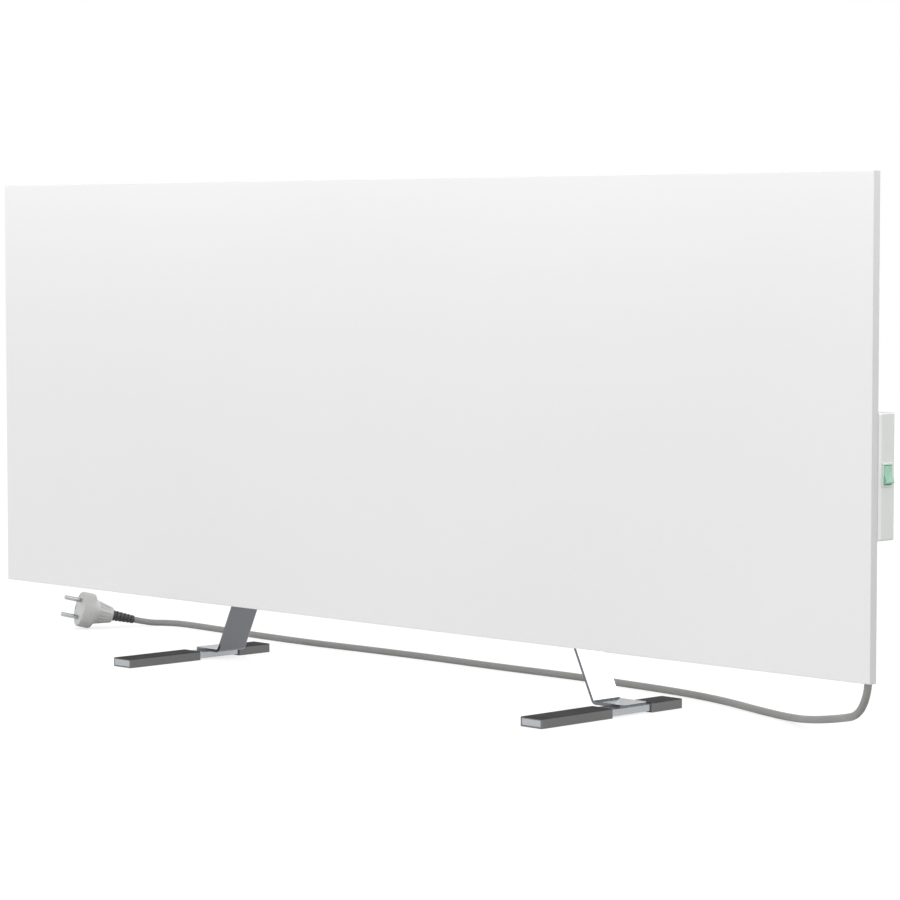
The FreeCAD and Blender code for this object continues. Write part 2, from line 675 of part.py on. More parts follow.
def control_box_cover():
    body = rounded_box(BOX_X, (Y_PARTING, BOX_Y[1]), BOX_Z)
    rim = [edge for edge in body.Edges if edge.BoundBox.YMin > BOX_Y[1] - 1e-6]
    body = body.makeFillet(BOX_ROUND * 0.9, rim)
    hollow = block(inset(BOX_X, BOX_WALL), (Y_PARTING, Y_COVER_ROOF), inset(BOX_Z, BOX_WALL))
    body = body.cut(hollow)
    body = body.fuse([rod(V(x, Y_BOSS, z), ALONG_Y, BOSS_RADIUS, BOX_Y[1] - BOX_WALL / 2 - Y_BOSS)
                      for x, z in cover_screw_places()]).removeSplitter()
    seat = BOX_Y[1] - COVER_SINK
    cuts = holes([V(x, Y_BOSS, z) for x, z in cover_screw_places()], ALONG_Y, SMALL_SHANK + HOLE_FIT, seat - Y_BOSS)
    cuts += holes([V(x, seat, z) for x, z in cover_screw_places()], ALONG_Y, SMALL_HEAD + HOLE_FIT, COVER_SINK)
    half = SWITCH_WIDTH / 2 + HOLE_FIT
    tall = SWITCH_HALF + HOLE_FIT
    cuts.append(block((BOX_X[1] - BOX_WALL, BOX_X[1]), (SWITCH_Y - half, SWITCH_Y + half),
                      (SWITCH_Z - tall, SWITCH_Z + tall)))
    cuts.append(rod(V(CORD_XY[0], CORD_XY[1], BOX_Z[0]), ALONG_Z, GLAND_NECK + HOLE_FIT, BOX_WALL))
    return body.cut(cuts)


def box_base_screws():
    length = Y_BASE_FLOOR - Y_PLATE + TIP_LENGTH
    return grouped([screw(V(x, Y_BASE_FLOOR, z), -ALONG_Y, SMALL_SHANK, length, SMALL_HEAD, SMALL_HEAD_HEIGHT)
                    for x, z in box_screw_places()])


def box_cover_screws():
    seat = BOX_Y[1] - COVER_SINK
    length = seat - Y_BASE_FLOOR - TIP_LENGTH
    return grouped([screw(V(x, seat, z), -ALONG_Y, SMALL_SHANK, length, SMALL_HEAD, SMALL_HEAD_HEIGHT)
                    for x, z in cover_screw_places()])


def wire_grommet():
    inner = Y_SEAT - GROMMET_LIP
    outer = Y_BASE_FLOOR + GROMMET_LIP
    neck = GROMMET_HOLE - HOLE_FIT
    low = Y_SEAT - inner
    high = Y_BASE_FLOOR - inner
    outline = [(GROMMET_BORE, 0), (GROMMET_FLANGE, 0), (GROMMET_FLANGE, low), (neck, low), (neck, high),
               (GROMMET_FLANGE, high), (GROMMET_FLANGE, outer - inner), (GROMMET_BORE, outer - inner)]
    return turned(outline, V(GROMMET_XZ[0], inner, GROMMET_XZ[1]), ALONG_Y)


def terminal_block():
    body = block(BLOCK_X, (Y_BASE_FLOOR, Y_BASE_FLOOR + BLOCK_DEPTH), BLOCK_Z)
    cuts = [rod(V(x, POLE_Y, BLOCK_Z[0]), ALONG_Z, POLE_TUBE + POLE_FIT, BLOCK_HEIGHT) for x in POLE_X]
    cuts += [rod(V(x, POLE_Y, sum(BLOCK_Z) / 2), ALONG_Y, POLE_SCREW_HEAD + HOLE_FIT, BLOCK_DEPTH / 2) for x in POLE_X]
    return body.cut(cuts)


def terminal_tubes():
    tubes = []
    for x in POLE_X:
        wall = rod(V(x, POLE_Y, BLOCK_Z[0]), ALONG_Z, POLE_TUBE, BLOCK_HEIGHT)
        bore = rod(V(x, POLE_Y, BLOCK_Z[0]), ALONG_Z, POLE_BORE, BLOCK_HEIGHT)
        tubes.append(wall.cut(bore))
    return grouped(tubes)


def terminal_screws():
    start = POLE_Y + POLE_TUBE
    length = Y_BASE_FLOOR + BLOCK_DEPTH - start
    return grouped([rod(V(x, start, sum(BLOCK_Z) / 2), ALONG_Y, POLE_SCREW_HEAD, length) for x in POLE_X])


def earth_lug():
    x, z = EARTH_XZ
    ring = rod(V(x, Y_BASE_FLOOR, z), ALONG_Y, LUG_RADIUS, LUG_THICK)
    tongue = block((x - LEAD_RADIUS, x + LEAD_RADIUS), (Y_BASE_FLOOR, Y_BASE_FLOOR + LUG_THICK),
                   (z - 2 * LUG_RADIUS, z))
    bore = rod(V(x, Y_BASE_FLOOR, z), ALONG_Y, SMALL_SHANK + HOLE_FIT, LUG_THICK)
    return ring.fuse(tongue).removeSplitter().cut(bore)


def earth_screw():
    x, z = EARTH_XZ
    seat = Y_BASE_FLOOR + LUG_THICK
    return screw(V(x, seat, z), -ALONG_Y, SMALL_SHANK, seat - Y_PLATE + TIP_LENGTH, SMALL_HEAD, SMALL_HEAD_HEIGHT)


# Switch

def switch_housing():
    half = SWITCH_WIDTH / 2
    frame = block((BOX_X[1], FRAME_X), (SWITCH_Y - half - FRAME_MARGIN, SWITCH_Y + half + FRAME_MARGIN),
                  (SWITCH_Z - SWITCH_HALF - FRAME_MARGIN, SWITCH_Z + SWITCH_HALF + FRAME_MARGIN))
    rim = [edge for edge in frame.Edges if edge.BoundBox.XMin > FRAME_X - 1e-6]
    frame = frame.makeFillet(FRAME_THICK * 0.5, rim)
    body = block((SWITCH_REAR, FRAME_X), (SWITCH_Y - half, SWITCH_Y + half),
                 (SWITCH_Z - SWITCH_HALF, SWITCH_Z + SWITCH_HALF))
    cavity = block((SWITCH_REAR + SWITCH_BACK, FRAME_X), (SWITCH_Y - CAVITY_WIDTH / 2, SWITCH_Y + CAVITY_WIDTH / 2),
                   (SWITCH_Z - CAVITY_HALF, SWITCH_Z + CAVITY_HALF))
    bearing = rod(PIVOT - ALONG_Y * half, ALONG_Y, TRUNNION_RADIUS + TRUNNION_FIT, SWITCH_WIDTH)
    slots = [blade_shape(z, (SWITCH_REAR, SWITCH_REAR + SWITCH_BACK)) for z in blade_rows()]
    return frame.fuse(body).removeSplitter().cut([cavity, bearing] + slots)


def rocker_width():
    return CAVITY_WIDTH - 2 * ROCKER_SIDE


def tilted(shape, pivot, angle):
    return shape.copy().rotate(pivot, ALONG_Y, angle)


def switch_rocker():
    """A shallow V on a round drum. At rest its upper half is pressed in."""
    half = rocker_width() / 2
    rise = math.tan(math.radians(ROCKER_TILT)) * 2 * ROCKER_RADIUS
    outline = [(ROCKER_CREST, 0), (ROCKER_CREST + rise, 2 * ROCKER_RADIUS), (-ROCKER_INNER, 2 * ROCKER_RADIUS),
               (-ROCKER_INNER, -2 * ROCKER_RADIUS), (ROCKER_CREST + rise, -2 * ROCKER_RADIUS)]
    points = [(PIVOT.x + x, PIVOT.z + z) for x, z in outline]
    key = plate(points, (SWITCH_Y - half, SWITCH_Y + half))
    drum = rod(PIVOT - ALONG_Y * half, ALONG_Y, ROCKER_RADIUS, 2 * half)
    reach = SWITCH_WIDTH / 2 - ROCKER_SIDE
    trunnion = rod(PIVOT - ALONG_Y * reach, ALONG_Y, TRUNNION_RADIUS, 2 * reach)
    body = key.common(drum).fuse(trunnion).removeSplitter()
    return body.rotate(PIVOT, ALONG_Y, -ROCKER_TILT)


def rocker_plunger():
    stem = rod(PIVOT - ALONG_X * PLUNGER_REACH, ALONG_X, PLUNGER_RADIUS, PLUNGER_REACH - ROCKER_INNER)
    return stem.rotate(PIVOT, ALONG_Y, -ROCKER_TILT)


def contact_lever():
    """A strip with a round knuckle across its middle, on which it rocks."""
    half = LEVER_WIDTH / 2
    strip = block((LEVER_PIVOT.x - LEVER_THICK / 2, LEVER_PIVOT.x + LEVER_THICK / 2),
                  (SWITCH_Y - half, SWITCH_Y + half), (SWITCH_Z - LEVER_LENGTH / 2, SWITCH_Z + LEVER_LENGTH / 2))
    knuckle = rod(LEVER_PIVOT - ALONG_Y * half, ALONG_Y, KNUCKLE_RADIUS, LEVER_WIDTH)
    return strip.rotate(LEVER_PIVOT, ALONG_Y, LEVER_TILT).fuse(knuckle).removeSplitter()


def blade_rows():
    return SWITCH_Z, SWITCH_Z - BLADE_SPREAD


def blade_shape(z, x):
    return block(x, (SWITCH_Y - BLADE_WIDTH / 2, SWITCH_Y + BLADE_WIDTH / 2),
                 (z - BLADE_THICK / 2, z + BLADE_THICK / 2))


def switch_terminals():
    """The middle blade is the lever's fulcrum, the lower one its contact."""
    under = LEVER_PIVOT.x - LEVER_THICK / 2
    drop = (BLADE_SPREAD + BLADE_THICK) * math.tan(math.radians(LEVER_TILT))
    tail = SWITCH_REAR - BLADE_TAIL
    fulcrum = blade_shape(blade_rows()[0], (tail, LEVER_PIVOT.x - KNUCKLE_RADIUS))
    cradle = rod(LEVER_PIVOT - ALONG_Y * SWITCH_WIDTH / 2, ALONG_Y, KNUCKLE_RADIUS + LEVER_GAP, SWITCH_WIDTH)
    contact = blade_shape(blade_rows()[1], (tail, under - drop - LEVER_GAP))
    return grouped([fulcrum.cut(cradle), contact])


def switch_lamp():
    place = V(PIVOT.x - PLUNGER_REACH, SWITCH_Y - LAMP_LENGTH / 2, SWITCH_Z + CAVITY_HALF - LAMP_RADIUS - HOLE_FIT)
    return rod(place, ALONG_Y, LAMP_RADIUS, LAMP_LENGTH)


# Cord, strain relief, clamp and leads

def cord_strain_relief():
    """A stepped boot with a neck in the box's wall and a ribbed taper below it."""
    bore = CORD_RADIUS + CORD_FIT
    taper = [(GLAND_TAPER_END, 0)]
    for rib in range(1, GLAND_RIBS + 1):
        height = GLAND_TAPER * rib / (GLAND_RIBS + 1)
        radius = GLAND_TAPER_END + (GLAND_TAPER_TOP - GLAND_TAPER_END) * height / GLAND_TAPER
        taper += [(radius, height - GLAND_GROOVE / 2), (radius - GLAND_GROOVE_DEPTH, height - GLAND_GROOVE / 2),
                  (radius - GLAND_GROOVE_DEPTH, height + GLAND_GROOVE / 2), (radius, height + GLAND_GROOVE / 2)]
    collar = GLAND_TAPER + GLAND_COLLAR
    neck = collar + BOX_WALL
    top = neck + GLAND_LIP
    taper += [(GLAND_TAPER_TOP, GLAND_TAPER), (GLAND_FLANGE, GLAND_TAPER), (GLAND_FLANGE, collar),
              (GLAND_NECK, collar), (GLAND_NECK, neck), (GLAND_FLANGE, neck), (GLAND_FLANGE, top), (bore, top)]
    return turned([(bore, 0)] + taper, CORD_EXIT, ALONG_Z)


def cord_tail():
    return rod(CORD_EXIT, ALONG_Z, CORD_RADIUS, CORD_TAIL_TOP - CORD_EXIT.z)


def cord_clamp():
    left, right = clamp_posts()
    low = CORD_XY[1] + CORD_RADIUS
    bar = block((left[0], right[1]), (low, low + CLAMP_THICK), CLAMP_Z)
    return bar.cut(holes([V(x, low, z) for x, z in clamp_screw_places()], ALONG_Y, SMALL_SHANK + HOLE_FIT, CLAMP_THICK))


def cord_clamp_screws():
    seat = CORD_XY[1] + CORD_RADIUS + CLAMP_THICK
    length = seat - Y_BASE_FLOOR - TIP_LENGTH
    return grouped([screw(V(x, seat, z), -ALONG_Y, SMALL_SHANK, length, SMALL_HEAD, SMALL_HEAD_HEIGHT)
                    for x, z in clamp_screw_places()])


def cord_conductors():
    """Three cores from the cord's tail to the terminal block, one above the other: earth, neutral and live."""
    x, y = CORD_XY
    low = CORD_TAIL_TOP
    high = BLOCK_Z[0]
    starts = [(x - 1.5, y - 0.9), (x + 1.5, y - 0.9), (x, y + 1.7)]
    cores = []
    for step, (start, pole) in enumerate(zip(starts, POLE_X)):
        level = low + (high - low) * (step + 1) * 0.22
        cores.append(lead([start + (low,), start + (level,), (pole, POLE_Y, level + 1), (pole, POLE_Y, high)]))
    return grouped(cores)


def panel_end(z):
    """The end of a lead that passes through the grommet and lies against its strap."""
    x = GROMMET_XZ[0]
    return [(x, Y_STRAP + 2 * LEAD_RADIUS, z), (x + 5, Y_STRAP + LEAD_RADIUS, z),
            (strap_x() - STRAP_WIDTH / 2, Y_STRAP + LEAD_RADIUS - STRAP_GAP / 2, z)]


def switch_leads():
    """The live core to the switch's lower blade, and on from its middle blade to the grommet."""
    tail = SWITCH_REAR - BLADE_TAIL
    x = GROMMET_XZ[0]
    top = BLOCK_Z[1]
    middle, lower = blade_rows()
    live = lead_rows()[0]
    feed = [(POLE_X[2], POLE_Y, top), (POLE_X[2], POLE_Y, top + 3), (tail - 6, SWITCH_Y, lower), (tail, SWITCH_Y, lower)]
    onward = [(tail, SWITCH_Y, middle), (tail - 5, SWITCH_Y, middle), (x + 4, SWITCH_Y - 1.4, (middle + live) / 2),
              (x, Y_BASE_FLOOR + 6, live)]
    return grouped([lead(feed), lead(onward + panel_end(live))])


def neutral_lead():
    x = GROMMET_XZ[0]
    top = BLOCK_Z[1]
    neutral = lead_rows()[1]
    return lead([(POLE_X[1], POLE_Y, top), (POLE_X[1], POLE_Y, (top + neutral) / 2),
                 (x, Y_BASE_FLOOR + 4, neutral)] + panel_end(neutral))


def earth_lead():
    x, z = EARTH_XZ
    barrel = z - 2 * LUG_RADIUS
    return lead([(POLE_X[0], POLE_Y, BLOCK_Z[1]), (x, POLE_Y, BLOCK_Z[1] + 4),
                 (x, Y_BASE_FLOOR + LEAD_RADIUS, barrel - 5), (x, Y_BASE_FLOOR + LEAD_RADIUS, barrel)])


def power_cord():
    points = [CORD_EXIT] + [V(*point) for point in CORD_ROUTE]
    solid, radii, length, ratio = tube(points, CORD_RADIUS)
    print("cord length %.1f, volume over section times length %.4f" % (length, ratio))
    print("cord radii", " ".join("%.0f" % radius for radius in radii))
    return solid


# Plug, modelled along +X from its tail and then laid at the cord's end

def plug_placement():
    before, end = [V(*point) for point in CORD_ROUTE[-2:]]
    run = end - before
    yaw = math.degrees(math.atan2(run.y, run.x))
    rise = math.degrees(math.asin(run.z / run.Length))
    return FreeCAD.Placement(end, FreeCAD.Rotation(yaw, -rise, 0))


def laid(shape):
    shape.Placement = plug_placement().multiply(shape.Placement)
    return shape


def plug_strain_relief():
    outline = [(0, 0), (PLUG_BOOT_TAIL, 0), (PLUG_BOOT_HEAD, PLUG_BOOT), (0, PLUG_BOOT)]
    return laid(turned(outline, V(0, 0, 0), ALONG_X))


def plug_face():
    return PLUG_BOOT + PLUG_GRIP + PLUG_SHOULDER + PLUG_NOSE


def plug_body():
    grip = PLUG_BOOT + PLUG_GRIP
    nose = grip + PLUG_SHOULDER
    face = plug_face()
    outline = [(0, PLUG_BOOT), (PLUG_GRIP_TAIL, PLUG_BOOT), (PLUG_GRIP_HEAD, grip), (PLUG_RADIUS, nose),
               (PLUG_RADIUS, face - PLUG_CHAMFER), (PLUG_RADIUS - PLUG_CHAMFER, face), (0, face)]
    body = turned(outline, V(0, 0, 0), ALONG_X)
    cuts = [rod(V(face - PIN_SEAT, 0, side * PIN_PITCH / 2), ALONG_X, PIN_ROOT + PIN_FIT, PIN_SEAT)
            for side in (-1, 1)]
    half = EARTH_WIDTH / 2
    for side in (-1, 1):
        groove = sorted((side * (PLUG_RADIUS - EARTH_DEPTH), side * PLUG_RADIUS))
        cuts.append(block((nose, face), groove, (-half, half)))
    return laid(body.cut(cuts))


def plug_pins():
    """Round pins with a thinner root held in the body."""
    pins = []
    for side in (-1, 1):
        root = V(plug_face() - PIN_SEAT, 0, side * PIN_PITCH / 2)
        pin = rod(root + ALONG_X * PIN_SEAT, ALONG_X, PIN_RADIUS, PIN_LENGTH)
        tip = [edge for edge in pin.Edges if edge.Closed and edge.BoundBox.XMin > plug_face() + PIN_LENGTH / 2]
        pin = pin.makeFillet(PIN_TIP, tip).fuse(rod(root, ALONG_X, PIN_ROOT, PIN_SEAT)).removeSplitter()
        pins.append(laid(pin))
    return grouped(pins)


def plug_earth_contacts():
    nose = PLUG_BOOT + PLUG_GRIP + PLUG_SHOULDER
    half = EARTH_WIDTH / 2 - PIN_FIT
    strips = []
    for side in (-1, 1):
        seat = PLUG_RADIUS - EARTH_DEPTH
        depth = sorted((side * seat, side * (seat + EARTH_THICK)))
        strips.append(laid(block((nose, plug_face()), depth, (-half, half))))
    return grouped(strips)


def main():
    os.makedirs("parts", exist_ok=True)
    save("front_panel", front_panel())
    save("front_insulator", layer((Y_FACE, Y_ELEMENT)))
    save("heating_element", heating_element())
    save("rear_insulator", rear_insulator())
    save("reflector_foil", reflector_foil())
    save("insulation_board", insulation_board())
    save("rear_panel", rear_panel())
    save("rear_panel_screws", rear_panel_screws())
    save("element_rivets", element_rivets())
    save("live_strap", live_strap())
    save("neutral_strap", neutral_strap())
    save("thermal_cutout", thermal_cutout())
    save("leg_screws", leg_screws())
    feet = both_sides(foot_screw_places())
    save("foot_screws", grouped([foot_screw(x, y) for x, y in feet]))
    for name, shape in (("leg_stem", leg_stem()), ("leg_backing_plate", leg_backing_plate()), ("foot_core", foot_core()),
                        ("front_foot_sleeve", front_sleeve()), ("rear_foot_sleeve", rear_sleeve())):
        save("right_" + name, shape)
        save("left_" + name, mirrored(shape))
    save("box_backing_plate", box_backing_plate())
    save("control_box_base", control_box_base())
    save("control_box_cover", control_box_cover())
    save("box_base_screws", box_base_screws())
    save("box_cover_screws", box_cover_screws())
    save("wire_grommet", wire_grommet())
    save("terminal_block", terminal_block())
    save("terminal_tubes", terminal_tubes())
    save("terminal_screws", terminal_screws())
    save("earth_lug", earth_lug())
    save("earth_screw", earth_screw())
    save("earth_lead", earth_lead())
    save("switch_housing", switch_housing())
    save("switch_rocker", switch_rocker())
    save("rocker_plunger", rocker_plunger())
    save("contact_lever", contact_lever())
    save("switch_terminals", switch_terminals())
    save("switch_lamp", switch_lamp())
    save("cord_strain_relief", cord_strain_relief())
    save("cord_tail", cord_tail())
    save("cord_clamp", cord_clamp())
    save("cord_clamp_screws", cord_clamp_screws())
    save("cord_conductors", cord_conductors())
    save("switch_leads", switch_leads())
    save("neutral_lead", neutral_lead())
    save("power_cord", power_cord())
    save("plug_strain_relief", plug_strain_relief())
    save("plug_body", plug_body())
    save("plug_pins", plug_pins())
    save("plug_earth_contacts", plug_earth_contacts())


main()
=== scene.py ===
import math

import bpy
from bpy.props import FloatProperty, FloatVectorProperty, IntProperty, PointerProperty
from mathutils import Matrix, Vector


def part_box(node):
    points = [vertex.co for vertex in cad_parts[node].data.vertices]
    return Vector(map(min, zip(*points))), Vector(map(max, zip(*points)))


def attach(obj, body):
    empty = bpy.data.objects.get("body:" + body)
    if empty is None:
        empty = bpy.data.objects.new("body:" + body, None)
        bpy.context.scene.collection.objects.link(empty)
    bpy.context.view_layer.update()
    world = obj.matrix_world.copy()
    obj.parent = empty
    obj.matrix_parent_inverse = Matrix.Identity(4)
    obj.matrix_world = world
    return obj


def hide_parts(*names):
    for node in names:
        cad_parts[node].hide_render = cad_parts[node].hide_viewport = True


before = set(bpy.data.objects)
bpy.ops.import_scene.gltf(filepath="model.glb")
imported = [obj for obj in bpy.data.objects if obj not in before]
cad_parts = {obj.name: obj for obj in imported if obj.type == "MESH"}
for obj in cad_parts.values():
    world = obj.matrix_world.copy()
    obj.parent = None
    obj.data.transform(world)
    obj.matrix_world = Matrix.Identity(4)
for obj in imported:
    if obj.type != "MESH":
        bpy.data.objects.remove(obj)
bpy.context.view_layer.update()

bl_info = {
    "name": "Panel Heater",
    "version": (1, 0, 0),
    "blender": (4, 5, 0),
    "location": "3D View > Sidebar > Heater",
    "description": "Dresses a free-standing panel heater: finishes, screws, cord, plug and studio",
    "category": "Object",
}

# The cord's route in metres, from the box's strain relief over the floor to the plug
CORD_ROUTE = [
    (0.5797, 0.015, 0.14), (0.5797, 0.015, 0.126), (0.5805, 0.0153, 0.104), (0.5806, 0.015, 0.08),
    (0.58, 0.0155, 0.05), (0.5615, 0.026, 0.027), (0.5227, 0.05, 0.018), (0.4727, 0.074, 0.009),
    (0.4297, 0.098, 0.0036), (0.3817, 0.113, 0.0034), (0.3117, 0.14, 0.0034), (0.2477, 0.154, 0.0034),
    (0.1677, 0.161, 0.0034), (0.0827, 0.164, 0.0034), (-0.0073, 0.162, 0.0034), (-0.0973, 0.165, 0.0034),
    (-0.1873, 0.1635, 0.0034), (-0.2773, 0.159, 0.0034), (-0.3623, 0.161, 0.0034), (-0.4373, 0.167, 0.0034),
    (-0.4883, 0.1705, 0.0034), (-0.5143, 0.171, 0.0034), (-0.5313, 0.1648, 0.0034),
    (-0.5448, 0.1521, 0.0034), (-0.5521, 0.13565, 0.00765),
]

# The camera: its place in metres, its lens and sensor in millimetres, its turn in degrees
CAMERA_PLACE = (2.3109, -2.1824, 0.4370)
CAMERA_LENS = 132.0
CAMERA_SENSOR = 36.0
CAMERA_DIP = 3.738
CAMERA_HEADING = 45.499

# Screws: how many in a row, the stems' lean in degrees, and the turn from one to the next in radians
REAR_SCREWS_ACROSS = 7
STEM_LEAN = 25.7
SCREW_TURN = 0.7


def tone(red, green, blue):
    """A colour given as it looks on a screen, from 0 to 255, in the linear values that sockets take."""
    return tuple(((level / 255 + 0.055) / 1.055) ** 2.4 if level > 10 else level / 255 / 12.92
                 for level in (red, green, blue))


def colour(name, description, value):
    return FloatVectorProperty(name=name, description=description, default=value, size=3, min=0.0, max=1.0,
                               subtype="COLOR")


def length(name, description, value):
    return FloatProperty(name=name, description=description, default=value, min=0.0, precision=5,
                         unit="LENGTH")


def power(name, description, value):
    return FloatProperty(name=name, description=description, default=value, min=0.0, unit="POWER")


# Sizes and colours that a user would change

class HeaterSizes(bpy.types.PropertyGroup):
    cord_diameter: length("Cord diameter", "Outside diameter of the mains cord", 0.0068)
    plug_boot: length("Plug boot", "Length of the soft boot where the cord enters the plug", 0.026)
    plug_boot_tail: length("Boot tail radius", "Radius of the boot at the cord", 0.0044)
    plug_boot_head: length("Boot head radius", "Radius of the boot at the plug", 0.0060)
    plug_grip: length("Plug grip", "Length of the tapered grip", 0.020)
    plug_grip_tail: length("Grip tail radius", "Radius of the grip at the boot", 0.0090)
    plug_grip_head: length("Grip head radius", "Radius of the grip below the shoulder", 0.0135)
    plug_shoulder: length("Plug shoulder", "Length of the flare from the grip to the nose", 0.004)
    plug_nose: length("Plug nose", "Length of the round nose", 0.014)
    plug_radius: length("Plug radius", "Radius of the round nose", 0.0195)
    stem_easing: length("Stem easing", "How far the stems' edges are eased", 0.00035)
    core_easing: length("Foot easing", "How far the edges of the feet's steel are eased", 0.0004)
    rocker_easing: length("Rocker easing", "How far the rocker's edges are eased", 0.0003)
    small_shank: length("Small screw shank", "Shank radius of the sheet and box screws", 0.0014)
    small_head: length("Small screw head", "Head radius of the sheet and box screws", 0.0027)
    small_head_height: length("Small head height", "Height of the sheet and box screws' heads", 0.0015)
    leg_shank: length("Leg screw shank", "Shank radius of the leg screws", 0.0025)
    leg_head: length("Leg screw head", "Head radius of the leg screws", 0.0046)
    leg_head_height: length("Leg head height", "Height of the leg screws' heads", 0.0026)
    screw_sides: IntProperty(name="Screw sides", description="Facets around a screw's head", default=28,
                             min=12, max=64)


class HeaterColours(bpy.types.PropertyGroup):
    front_enamel: colour("Front enamel", "White enamel of the panel", tone(238, 238, 238))
    rear_enamel: colour("Rear enamel", "Grey-white coat of the rear panel", tone(226, 227, 227))
    box_base: colour("Box base", "Light plastic of the control box's base", tone(240, 242, 240))
    box_cover: colour("Box cover", "Grey plastic of the control box's cover", tone(224, 226, 223))
    switch_frame: colour("Switch frame", "Plastic of the switch's frame", tone(214, 226, 219))
    green_lens: colour("Green lens", "Green of the switch's rocker", tone(152, 201, 178))
    steel: colour("Polished steel", "Reflecting colour of the leg stems", tone(112, 114, 118))
    cut_steel: colour("Cut steel", "Reflecting colour of the stems' cut edges", tone(176, 178, 182))
    bare_steel: colour("Bare steel", "Reflecting colour of the feet's bare middle", tone(174, 177, 181))
    rubber: colour("Black rubber", "Rubber of the foot sleeves", tone(46, 46, 47))
    # Painted light: this lighter grey goes on the sleeves' sides, so their black tops look shaded
    sleeve_side_light: colour("Sleeve side light", "Dull grey of the sleeves' sides", tone(132, 132, 132))
    cord_jacket: colour("Cord jacket", "Grey jacket of the cord", tone(147, 147, 145))
    plug_plastic: colour("Plug plastic", "Pale grey plastic of the plug", tone(198, 199, 197))
    plug_boot: colour("Plug boot", "Dark soft plastic of the plug's boot", tone(46, 47, 47))
    zinc: colour("Zinc", "Zinc plate of screws and brackets", tone(186, 190, 194))
    brass: colour("Brass", "Brass of terminals, straps and rivets", tone(196, 160, 92))


class StudioSettings(bpy.types.PropertyGroup):
    ambient: FloatProperty(name="Ambient", description="Even light of the white room", default=0.74,
                           min=0.0, max=2.0)
    floor_shade: FloatProperty(name="Floor shade", description="How much light the floor throws back",
                               default=0.4, min=0.0, max=1.0)
    floor_glow: FloatProperty(name="Floor glow", description="What makes the floor white to the eye",
                              default=0.7, min=0.0, max=2.0)
    key: power("Key lamp", "Power of the large front lamp", 93.0)
    top: power("Top lamp", "Power of the long strip over the panel's top edge", 0.8)
    side: power("Side lamp", "Power of the lamp on the control box's side", 12.5)
    back: power("Back lamp", "Power of the large lamp behind the heater", 68.0)
    rim: power("Rim lamp", "Power of the panel that the right stem mirrors", 45.0)


# Finishes

